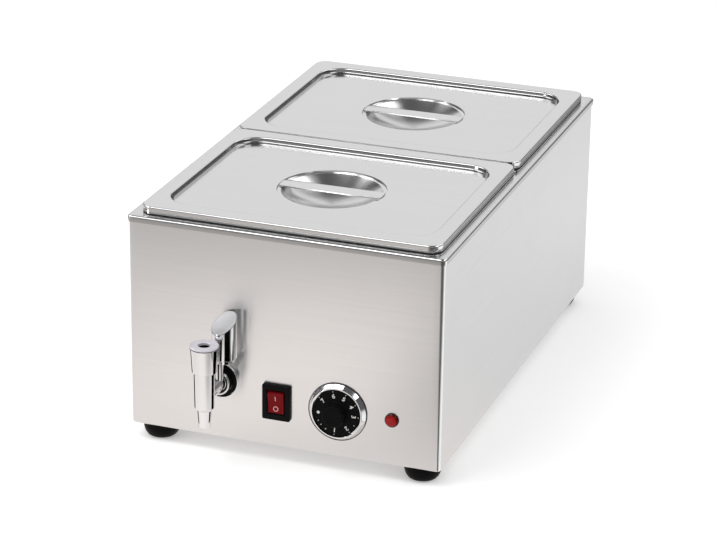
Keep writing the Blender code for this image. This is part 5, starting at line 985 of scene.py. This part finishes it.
# Thermostat dial's knob: one black moulding, a flat face inside the ring with a round boss to
# grip. It is pushed on the thermostat's shaft from the front.
FACE_RADIUS, FACE_BACK, FACE_FRONT = 0.0256, 0.0018, 0.0048
FACE_BACK_EDGE, FACE_EDGE = 0.0003, 0.0004
BOSS_GRIP, BOSS_TAPER, BOSS_FRONT = 0.0124, 0.0008, 0.0165
BOSS_EDGE, BOSS_FOOT = 0.0014, 0.0014
BOSS_DISH, DISH_EDGE_DEEP, DISH_DEEP = 0.004, 0.0002, 0.0005
SHAFT_HOLE, SHAFT_END = 0.0033, 0.0128
knob_black = soft_black("knob_black", grey(0.003), 0.40, 1400.0, 0.00002)
boss_top = BOSS_GRIP - BOSS_TAPER
knob_section = [(SHAFT_HOLE, SHAFT_END), (SHAFT_HOLE, FACE_BACK)]
knob_section += lower_edge(FACE_RADIUS, FACE_BACK, FACE_BACK_EDGE)
knob_section += upper_edge(FACE_RADIUS, FACE_FRONT, FACE_EDGE)
knob_section.append((BOSS_GRIP + BOSS_FOOT, FACE_FRONT))
knob_section += bend(BOSS_GRIP + BOSS_FOOT, FACE_FRONT + BOSS_FOOT, BOSS_FOOT, 240, 180, 2)
knob_section += bend(boss_top - BOSS_EDGE, BOSS_FRONT - BOSS_EDGE, BOSS_EDGE, 0, 90)
knob_section += [(boss_top - BOSS_DISH, BOSS_FRONT - DISH_EDGE_DEEP), (0, BOSS_FRONT - DISH_DEEP)]
knob = turn_up("dial_knob_moulding", knob_section, 96)
hand_over(knob, knob_black, "dial", ["dial_knob"], dial_place, TO_FRONT, 35)

# Dial figures: 1 to 7 with a stroke outside each, small marks before the first, and a round
# mark for off, all printed in white on the knob's face. Turns go clockwise from the top.
FIGURE_TURNS = {"1": 185, "2": 143, "3": 93, "4": 59.7, "5": 25.4, "6": 350.6, "7": 309}
FIGURE_RADIUS, FIGURE_SIZE, FIGURE_SWELL = 0.0187, 0.0066, 0.00016
RIM_RADIUS, RIM_STROKE = 0.0238, (0.0005, 0.0013)
SMALL_TURNS, SMALL_RADIUS, SMALL_STROKE = (241, 228, 211), 0.0222, (0.0006, 0.0016)
HALF_TURN, HALF_STROKE = 119, (0.0006, 0.0012)
OFF_TURN, OFF_RADIUS, OFF_SIZE = 265, 0.0196, 0.0016
white_ink = ink("white_ink", (0.82, 0.82, 0.80))
flat_marks = []


def print_on_dial(mark, turn, radius, upright=False):
    """Puts a flat mark on the dial's face, turned with its place unless it stays upright."""
    angle = math.radians(turn)
    spot = (radius * math.sin(angle), radius * math.cos(angle), FACE_FRONT + INK / 2)
    settle(mark, spot, (0, 0, 0 if upright else -angle))
    flat_marks.append(mark)


for figure, turn in FIGURE_TURNS.items():
    set_apart()
    bpy.ops.object.text_add()
    letter = bpy.context.object.data
    letter.body = figure
    letter.size = FIGURE_SIZE
    letter.align_x = letter.align_y = "CENTER"
    letter.extrude = INK / 2
    letter.offset = FIGURE_SWELL
    bpy.ops.object.convert(target="MESH")
    print_on_dial(bpy.context.object, turn, FIGURE_RADIUS)
strokes = [(turn, RIM_RADIUS, RIM_STROKE) for turn in FIGURE_TURNS.values()]
strokes += [(turn, SMALL_RADIUS, SMALL_STROKE) for turn in SMALL_TURNS]
strokes.append((HALF_TURN, SMALL_RADIUS, HALF_STROKE))
for turn, radius, size in strokes:
    print_on_dial(add_block("printed_stroke", (*size, INK)), turn, radius)
off_mark = turn_up("off_mark", [(OFF_SIZE, -INK / 2), (OFF_SIZE, INK / 2)], 24)
print_on_dial(off_mark, OFF_TURN, OFF_RADIUS, upright=True)
set_apart()
for mark in flat_marks:
    mark.select_set(True)
bpy.context.view_layer.objects.active = flat_marks[0]
bpy.ops.object.join()
figures = bpy.context.object
figures.name = figures.data.name = "dial_figures"
figures.data.materials.clear()
hand_over(figures, white_ink, "dial", (), dial_place, TO_FRONT)

# Thermostat: a plated case seated behind the front, with a turned steel shaft through its
# bush that carries the knob. Both keep the CAD's shapes.
dress(plated("case_plating", (0.60, 0.58, 0.54), 0.45), "thermostat_body")
dress(brushed_steel("turned_steel", 0.64, 0.25, (600, 5, 5)), "thermostat_shaft")

# Pilot lamp: a moulded red lens, snapped over its black body from the front. Its red is
# painted deeper towards the dome's edge, as painted shade. Body, nut and gland keep the CAD's shapes.
LAMP_X = 0.1185
LENS_RADIUS, LENS_TOP, LENS_EDGE, LENS_STEPS = 0.0076, 0.0042, 0.0002, 14
COLLAR_BORE, COLLAR_FOOT, COLLAR_FLOOR = 0.0071, 0.0004, 0.0014
LENS_RED, LENS_DEEP_RED, LENS_SHINE = (0.32, 0.004, 0.006), (0.045, 0.0006, 0.0006), 0.08
DEEPENS_FROM, DEEPENS_TO, DOME_FULLNESS = 0.0050, 0.0068, 0.8
lens_section = [(COLLAR_BORE, COLLAR_FLOOR), (COLLAR_BORE, COLLAR_FOOT)]
lens_section.append((LENS_RADIUS - LENS_EDGE, COLLAR_FOOT))
dome_foot = COLLAR_FOOT + LENS_EDGE
for step in range(LENS_STEPS):
    turn = math.pi / 2 * step / LENS_STEPS
    radius = LENS_RADIUS * math.cos(turn) ** DOME_FULLNESS
    lens_section.append((radius, dome_foot + (LENS_TOP - dome_foot) * math.sin(turn)))
lens_section.append((0, LENS_TOP))
lens = turn_up("pilot_lens", lens_section, 64)
lens_red, tree, place = new_finish("lens_red", LENS_RED, 0.0, LENS_SHINE, Specular_IOR_Level=0.3)
flat = add_node(tree, "ShaderNodeVectorMath", place, (1, 0, 1), operation="MULTIPLY").outputs[0]
axis = (LAMP_X, 0, CONTROL_Z)
from_axis = add_node(tree, "ShaderNodeVectorMath", flat, axis, operation="DISTANCE").outputs["Value"]
# Painted shade: the lens's red deepens towards the edge of the dome.
painted_edge_shade = ramp(tree, from_axis, DEEPENS_FROM, DEEPENS_TO)
feed(tree, "Base Color", blend_colours(tree, painted_edge_shade, LENS_RED, LENS_DEEP_RED))
handled = place_group(tree, marks, place, Roughness=LENS_SHINE, Amount=0.08)
feed(tree, "Roughness", handled["Roughness"])
lamp_place = (LAMP_X, CASE_FRONT, CONTROL_Z)
hand_over(lens, lens_red, "appliance", ["pilot_lamp_lens"], lamp_place, TO_FRONT, 60)
dress(black, "pilot_lamp_body", "pilot_lamp_nut", "cable_gland", "gland_locknut")

# Drain tap, wall side: a round flange of chromed brass round the tap's chamber, with a black
# rubber seal lying in it. The tap's back nut pulls both against the front.
TAP_X, TAP_Z, TAP_REACH = -0.0685, 0.0843, 0.045
CHAMBER_RADIUS, CHAMBER_FRONT = 0.0136, 0.0128
FLANGE_RADIUS, FLANGE_RIM, FLANGE_DEEP = 0.0200, 0.0011, 0.0042
FLANGE_FLOOR, FLANGE_EDGE = 0.0008, 0.0003
SEAL_FRONT, SEAL_EDGE = 0.0034, 0.0005
tap_place = (TAP_X, CASE_FRONT, TAP_Z)
clear = CHAMBER_RADIUS + GAP
half_rim = FLANGE_RIM / 2
flange_section = [(clear, GAP)] + lower_edge(FLANGE_RADIUS, GAP, FLANGE_EDGE)
flange_section += bend(FLANGE_RADIUS - half_rim, FLANGE_DEEP - half_rim, half_rim, 0, 180, 9)
flange_section += [(FLANGE_RADIUS - FLANGE_RIM, GAP + FLANGE_FLOOR), (clear, GAP + FLANGE_FLOOR)]
flange_section.append((clear, GAP))
flange = turn_up("tap_flange", flange_section, 72)
hand_over(flange, chrome, nodes=["tap_wall_ring"], place=tap_place, turn=TO_FRONT, sharp=35)
seal_out = FLANGE_RADIUS - FLANGE_RIM - GAP
seal_back = 2 * GAP + FLANGE_FLOOR
seal_section = [(clear, seal_back), (seal_out, seal_back)] + upper_edge(seal_out, SEAL_FRONT, SEAL_EDGE)
seal_section += [(clear + SEAL_EDGE, SEAL_FRONT), (clear, SEAL_FRONT - SEAL_EDGE), (clear, seal_back)]
seal = turn_up("tap_seal", seal_section, 72)
hand_over(seal, rubber, nodes=["tap_gasket"], place=tap_place, turn=TO_FRONT)

# Drain tap body: one chromed brass casting, a round chamber on the wall with a barrel forward
# to the upright spout, and a short bonnet on the barrel for the handle. Its bores are drilled,
# the spout's open head is painted black as painted shade in its bore, and the chamber's dished face is black.
TAIL_RADIUS, TAIL_LONG = 0.0072, 0.024
BARREL_RADIUS, BARREL_FILLET, CHAMBER_RIM, CHAMBER_DISH = 0.0092, 0.0006, 0.0018, 0.0016
SPOUT_RADIUS, SPOUT_FOOT, SPOUT_SHOULDER = 0.0110, 0.0104, 0.0715
SPOUT_CHAMFER, SPOUT_EDGE = 0.0030, 0.0003
NOZZLE_TOP, NOZZLE_TIP, NOZZLE_END, NOZZLE_EDGE, NOZZLE_BORE = 0.0076, 0.0062, 0.0492, 0.0004, 0.0046
SLEEVE_LOW, SLEEVE_HIGH, NECK_RADIUS = 0.1106, 0.1368, 0.0090
BONNET_RADIUS, BONNET_LOW, BONNET_HIGH, BONNET_EDGE = 0.0082, 0.0860, 0.1112, 0.0006
HEAD_BORE, HEAD_BORE_LOW, BORE_RUN, HAIR = 0.0066, 0.1180, 0.002, 0.0001
HANDLE_X, HANDLE_Y = -0.0589, -0.26755
half_rim = CHAMBER_RIM / 2
dished = CHAMBER_FRONT - CHAMBER_DISH
chamber = [(TAIL_RADIUS, -SHEET - TAIL_LONG), (TAIL_RADIUS, GAP), (CHAMBER_RADIUS, GAP)]
chamber += bend(CHAMBER_RADIUS - half_rim, CHAMBER_FRONT - half_rim, half_rim, 0, 180, 9)
chamber += [(CHAMBER_RADIUS - CHAMBER_RIM, dished), (BARREL_RADIUS + BARREL_FILLET, dished)]
chamber += [(BARREL_RADIUS, dished + BARREL_FILLET), (BARREL_RADIUS, TAP_REACH - SPOUT_RADIUS / 4)]
tap = turn_up("tap_casting", chamber, 72)
settle(tap, tap_place, TO_FRONT)
cone_top, spout_top = SPOUT_SHOULDER - SPOUT_CHAMFER, SLEEVE_LOW - GAP
spout = lower_edge(NOZZLE_TIP, NOZZLE_END, NOZZLE_EDGE)
spout += [(NOZZLE_TOP, cone_top - NOZZLE_EDGE), (NOZZLE_TOP + NOZZLE_EDGE, cone_top)]
spout += [(SPOUT_FOOT - NOZZLE_EDGE, SPOUT_SHOULDER - NOZZLE_EDGE), (SPOUT_FOOT, SPOUT_SHOULDER)]
spout += upper_edge(SPOUT_RADIUS, spout_top, SPOUT_EDGE)
spout += [(NECK_RADIUS, spout_top), (NECK_RADIUS, SLEEVE_HIGH - GAP)]
bonnet = [(BONNET_RADIUS, BONNET_LOW)] + upper_edge(BONNET_RADIUS, BONNET_HIGH, BONNET_EDGE)
spout_y = CASE_FRONT - TAP_REACH
TAP_PARTS = (
    (spout, spout_y, "UNION"),
    (bonnet, HANDLE_Y, "UNION"),
    ([(NOZZLE_BORE, NOZZLE_END - BORE_RUN), (NOZZLE_BORE, TAP_Z)], spout_y, "DIFFERENCE"),
    ([(HEAD_BORE, HEAD_BORE_LOW), (HEAD_BORE, SLEEVE_HIGH + BORE_RUN)], spout_y, "DIFFERENCE"),
)
for section, y, how in TAP_PARTS:
    part = turn_up("tap_part", section, 72)
    settle(part, (TAP_X, y, 0))
    cut_with(tap, part, how)
hand_over(tap, chrome, nodes=["tap_body"])


def in_tap_shade(face):
    """Whether a face lies in the spout's open head or on the chamber's dished face."""
    from_spout = math.hypot(face.center.x - TAP_X, face.center.y - spout_y)
    from_barrel = math.hypot(face.center.x - TAP_X, face.center.z - TAP_Z)
    in_head = from_spout < HEAD_BORE + HAIR and HEAD_BORE_LOW - HAIR < face.center.z
    on_dish = abs(face.center.y - CASE_FRONT + dished) < 2 * HAIR
    return in_head or on_dish and BARREL_RADIUS + 4 * HAIR < from_barrel < CHAMBER_RADIUS - 8 * HAIR


# Painted shade: black in the spout's open head; the chamber's dished face is black too.
refinish(tap, black, in_tap_shade)

# Tap flags: two narrow black flags beside the tap, which the camera, diffuse light and shadows
# don't see. Only chrome within their reach sees them, as painted dark reflections down its sides.
FLAG_REACH, FLAG_THICK, FLAG_HIGH, FLAG_Z = 0.024, 0.0004, 0.12, 0.105
FLAGS = {"right": (-0.0460, -0.2985, -0.2775), "left": (-0.0885, -0.3015, -0.2850)}
flag_black = bpy.data.materials.new("flag_black")
flag_black.use_nodes = True
tree = flag_black.node_tree
tree.nodes.clear()
run = add_node(tree, "ShaderNodeLightPath").outputs["Ray Length"]
far_off = number(tree, "GREATER_THAN", run, FLAG_REACH)
cloth = add_node(tree, "ShaderNodeBsdfDiffuse", (0.004, 0.004, 0.004, 1))
unseen = add_node(tree, "ShaderNodeBsdfTransparent")
mixed = add_node(tree, "ShaderNodeMixShader", far_off, cloth.outputs[0], unseen.outputs[0])
add_node(tree, "ShaderNodeOutputMaterial", mixed.outputs[0])
for side, (x, front, back) in FLAGS.items():
    size, middle = (FLAG_THICK, back - front, FLAG_HIGH), (x, (front + back) / 2, FLAG_Z)
    flag = add_block("tap_flag_" + side, size, middle)
    flag.data.materials.append(flag_black)
    flag.visible_camera = flag.visible_diffuse = flag.visible_shadow = False

# Spout sleeve and cap: a tapered chrome sleeve slipped round the spout's head, closed by a
# satin ring cap with an open hole. A painted dark line of shade runs round the cap's foot.
SLEEVE_TOP_RADIUS, SLEEVE_FOOT_RADIUS, SLEEVE_EDGE = 0.0142, 0.0128, 0.0004
CAP_RADIUS, CAP_TOP, CAP_HOLE, CAP_ROUND = 0.0152, 0.1398, 0.0064, 0.0009
CAP_LINE, CAP_EDGE = 0.0011, 0.0003
SATIN = {"scratch": 0.97, "spread": 0.05, "smudges": 0.03, "depth": 3e-6}
inner = NECK_RADIUS + GAP
sleeve_section = [(inner, SLEEVE_LOW)] + lower_edge(SLEEVE_FOOT_RADIUS, SLEEVE_LOW, SLEEVE_EDGE)
sleeve_section += upper_edge(SLEEVE_TOP_RADIUS, SLEEVE_HIGH, CAP_EDGE)
sleeve_section += [(inner, SLEEVE_HIGH), (inner, SLEEVE_LOW)]
sleeve = turn_up("spout_sleeve", sleeve_section, 72)
spout_place = (TAP_X, spout_y, 0)
hand_over(sleeve, chrome, nodes=["tap_sleeve"], place=spout_place, sharp=35)
cap_low = SLEEVE_HIGH + GAP
cap_section = [(CAP_HOLE, cap_low)] + lower_edge(CAP_RADIUS, cap_low, CAP_EDGE)
cap_section.append((CAP_RADIUS, cap_low + CAP_LINE))
cap_section += bend(CAP_RADIUS - CAP_ROUND, CAP_TOP - CAP_ROUND, CAP_ROUND, 0, 90)
cap_section += [(CAP_HOLE + SLEEVE_EDGE, CAP_TOP), (CAP_HOLE, CAP_TOP - SLEEVE_EDGE), (CAP_HOLE, cap_low)]
cap = turn_up("spout_cap", cap_section, 72)
pearl_chrome = brushed_steel("pearl_chrome", (0.72, 0.70, 0.75), 0.42, (300, 300, 300), **SATIN)
pearl_chrome.node_tree.nodes["Principled BSDF"].inputs["Metallic"].default_value = 0.25
hand_over(cap, pearl_chrome, nodes=["tap_cap"], place=spout_place, sharp=35)


def at_cap_foot(face):
    """Whether a face belongs to the outer foot of the spout's cap."""
    outer = CAP_RADIUS - 0.001 < math.hypot(face.center.x - TAP_X, face.center.y - spout_y)
    return outer and abs(face.normal.z) < 0.5 and face.center.z < cap_low + CAP_LINE


# Painted shade: the cap's outer foot takes the near black plating.
refinish(cap, painted_shade_line, at_cap_foot)

# Tap handle: an upright chromed bar, cut off aslant and slightly dished for the thumb, with a
# satin slant whose colour is painted darker than the chrome, as painted shade. It turns with the
# collar below it on a steel spindle in the bonnet.
HANDLE_RADIUS, HANDLE_LOW, HANDLE_CUT, HANDLE_EDGE = 0.0131, 0.1155, 0.1542, 0.0008
HANDLE_SPARE, FACES_UP = 0.02, 0.6
CUT_SLOPE, CUT_TURN = 0.715, math.radians(64)
THUMB_STEPS = ((0.0004, 0), (0.0010, -0.0002), (0.0022, -0.0003), (0.0030, -0.0003), (0.0020, -0.0001))
COLLAR_RADIUS, COLLAR_LOW, COLLAR_EDGE, SPINDLE_RADIUS = 0.0105, 0.1115, 0.0005, 0.0032
satin_painted_shade_chrome = brushed_steel("satin_painted_shade_chrome", (0.44, 0.435, 0.445), 0.42, (300, 300, 300), **SATIN)


def choose_face(piece, rank):
    """Selects the one face that ranks highest."""
    bpy.ops.mesh.select_all(action="DESELECT")
    shape = bmesh.from_edit_mesh(piece.data)
    max(shape.faces, key=rank).select_set(True)
    bmesh.update_edit_mesh(piece.data)


handle_section = lower_edge(HANDLE_RADIUS, HANDLE_LOW, HANDLE_EDGE)
handle_section.append((HANDLE_RADIUS, HANDLE_CUT + HANDLE_SPARE))
handle = turn_up("tap_handle_bar", handle_section, 96)
slant = (-CUT_SLOPE * math.cos(CUT_TURN), -CUT_SLOPE * math.sin(CUT_TURN), 1)
bpy.ops.mesh.bisect(plane_co=(0, 0, HANDLE_CUT), plane_no=slant, clear_outer=True, use_fill=True)
choose_face(handle, lambda face: face.calc_center_median().z if len(face.verts) > 8 else 0)
bpy.ops.mesh.bevel(offset=HANDLE_EDGE, segments=4, affect="EDGES")
choose_face(handle, lambda face: face.calc_area() * (face.normal.z > 0.5))
for thickness, depth in THUMB_STEPS:
    bpy.ops.mesh.inset(thickness=thickness, depth=depth)
handle_place = (HANDLE_X, HANDLE_Y, 0)
handle_chrome = bright_chrome("handle_chrome", 0.09)
hand_over(handle, handle_chrome, "handle", ["tap_handle"], handle_place, sharp=35)
# Satin and painted shade: the slant takes a rougher chrome of a darker colour.
refinish(handle, satin_painted_shade_chrome, lambda face: FACES_UP < face.normal.z and HANDLE_LOW + 0.01 < face.center.z)
collar_section = lower_edge(COLLAR_RADIUS, COLLAR_LOW, COLLAR_EDGE)
collar_section += [(COLLAR_RADIUS, HANDLE_LOW - GAP), (SPINDLE_RADIUS, HANDLE_LOW - GAP)]
collar = turn_up("handle_collar", collar_section, 48)
hand_over(collar, chrome, "handle", ["tap_spindle"], handle_place, sharp=35)

# Behind the tap: a brass back nut on its tail, a copper elbow from the tank's drain held by
# a zinc-plated clip, and a steel strainer over the drain. The earth stud, the thermostat's
# bulb and the heater's clamps are of the same metals. All keep the CAD's shapes.
dress(plated("brass", (0.62, 0.44, 0.18), 0.35), "tap_backnut", "earth_stud")
dress(plated("copper", (0.66, 0.30, 0.17), 0.38), "drain_pipe", "thermostat_bulb")
dress(zinc, "drain_clip", "element_clamp_front", "element_clamp_back", "bulb_saddle")
dress(plain_steel, "drain_strainer")

# Heater: a tubular element in a dull nickel-alloy sheath, clamped under the well, and a black
# overheat cut-out pressed against the tank's floor. Both keep the CAD's shapes.
dress(plated("heater_sheath", (0.20, 0.19, 0.17), 0.55), "heating_element")
dress(soft_black("cutout_case", (0.03, 0.028, 0.025), 0.5, 600.0, 0.00003), "overheat_cutout")

# Mains entry: a ceramic terminal block stands on the bottom plate inside, near the nylon
# gland that was given the pilot lamp's black. It keeps the CAD's shape.
dress(soft_black("ceramic", (0.62, 0.60, 0.55), 0.45, 500.0, 0.00002), "terminal_block")

set_apart()
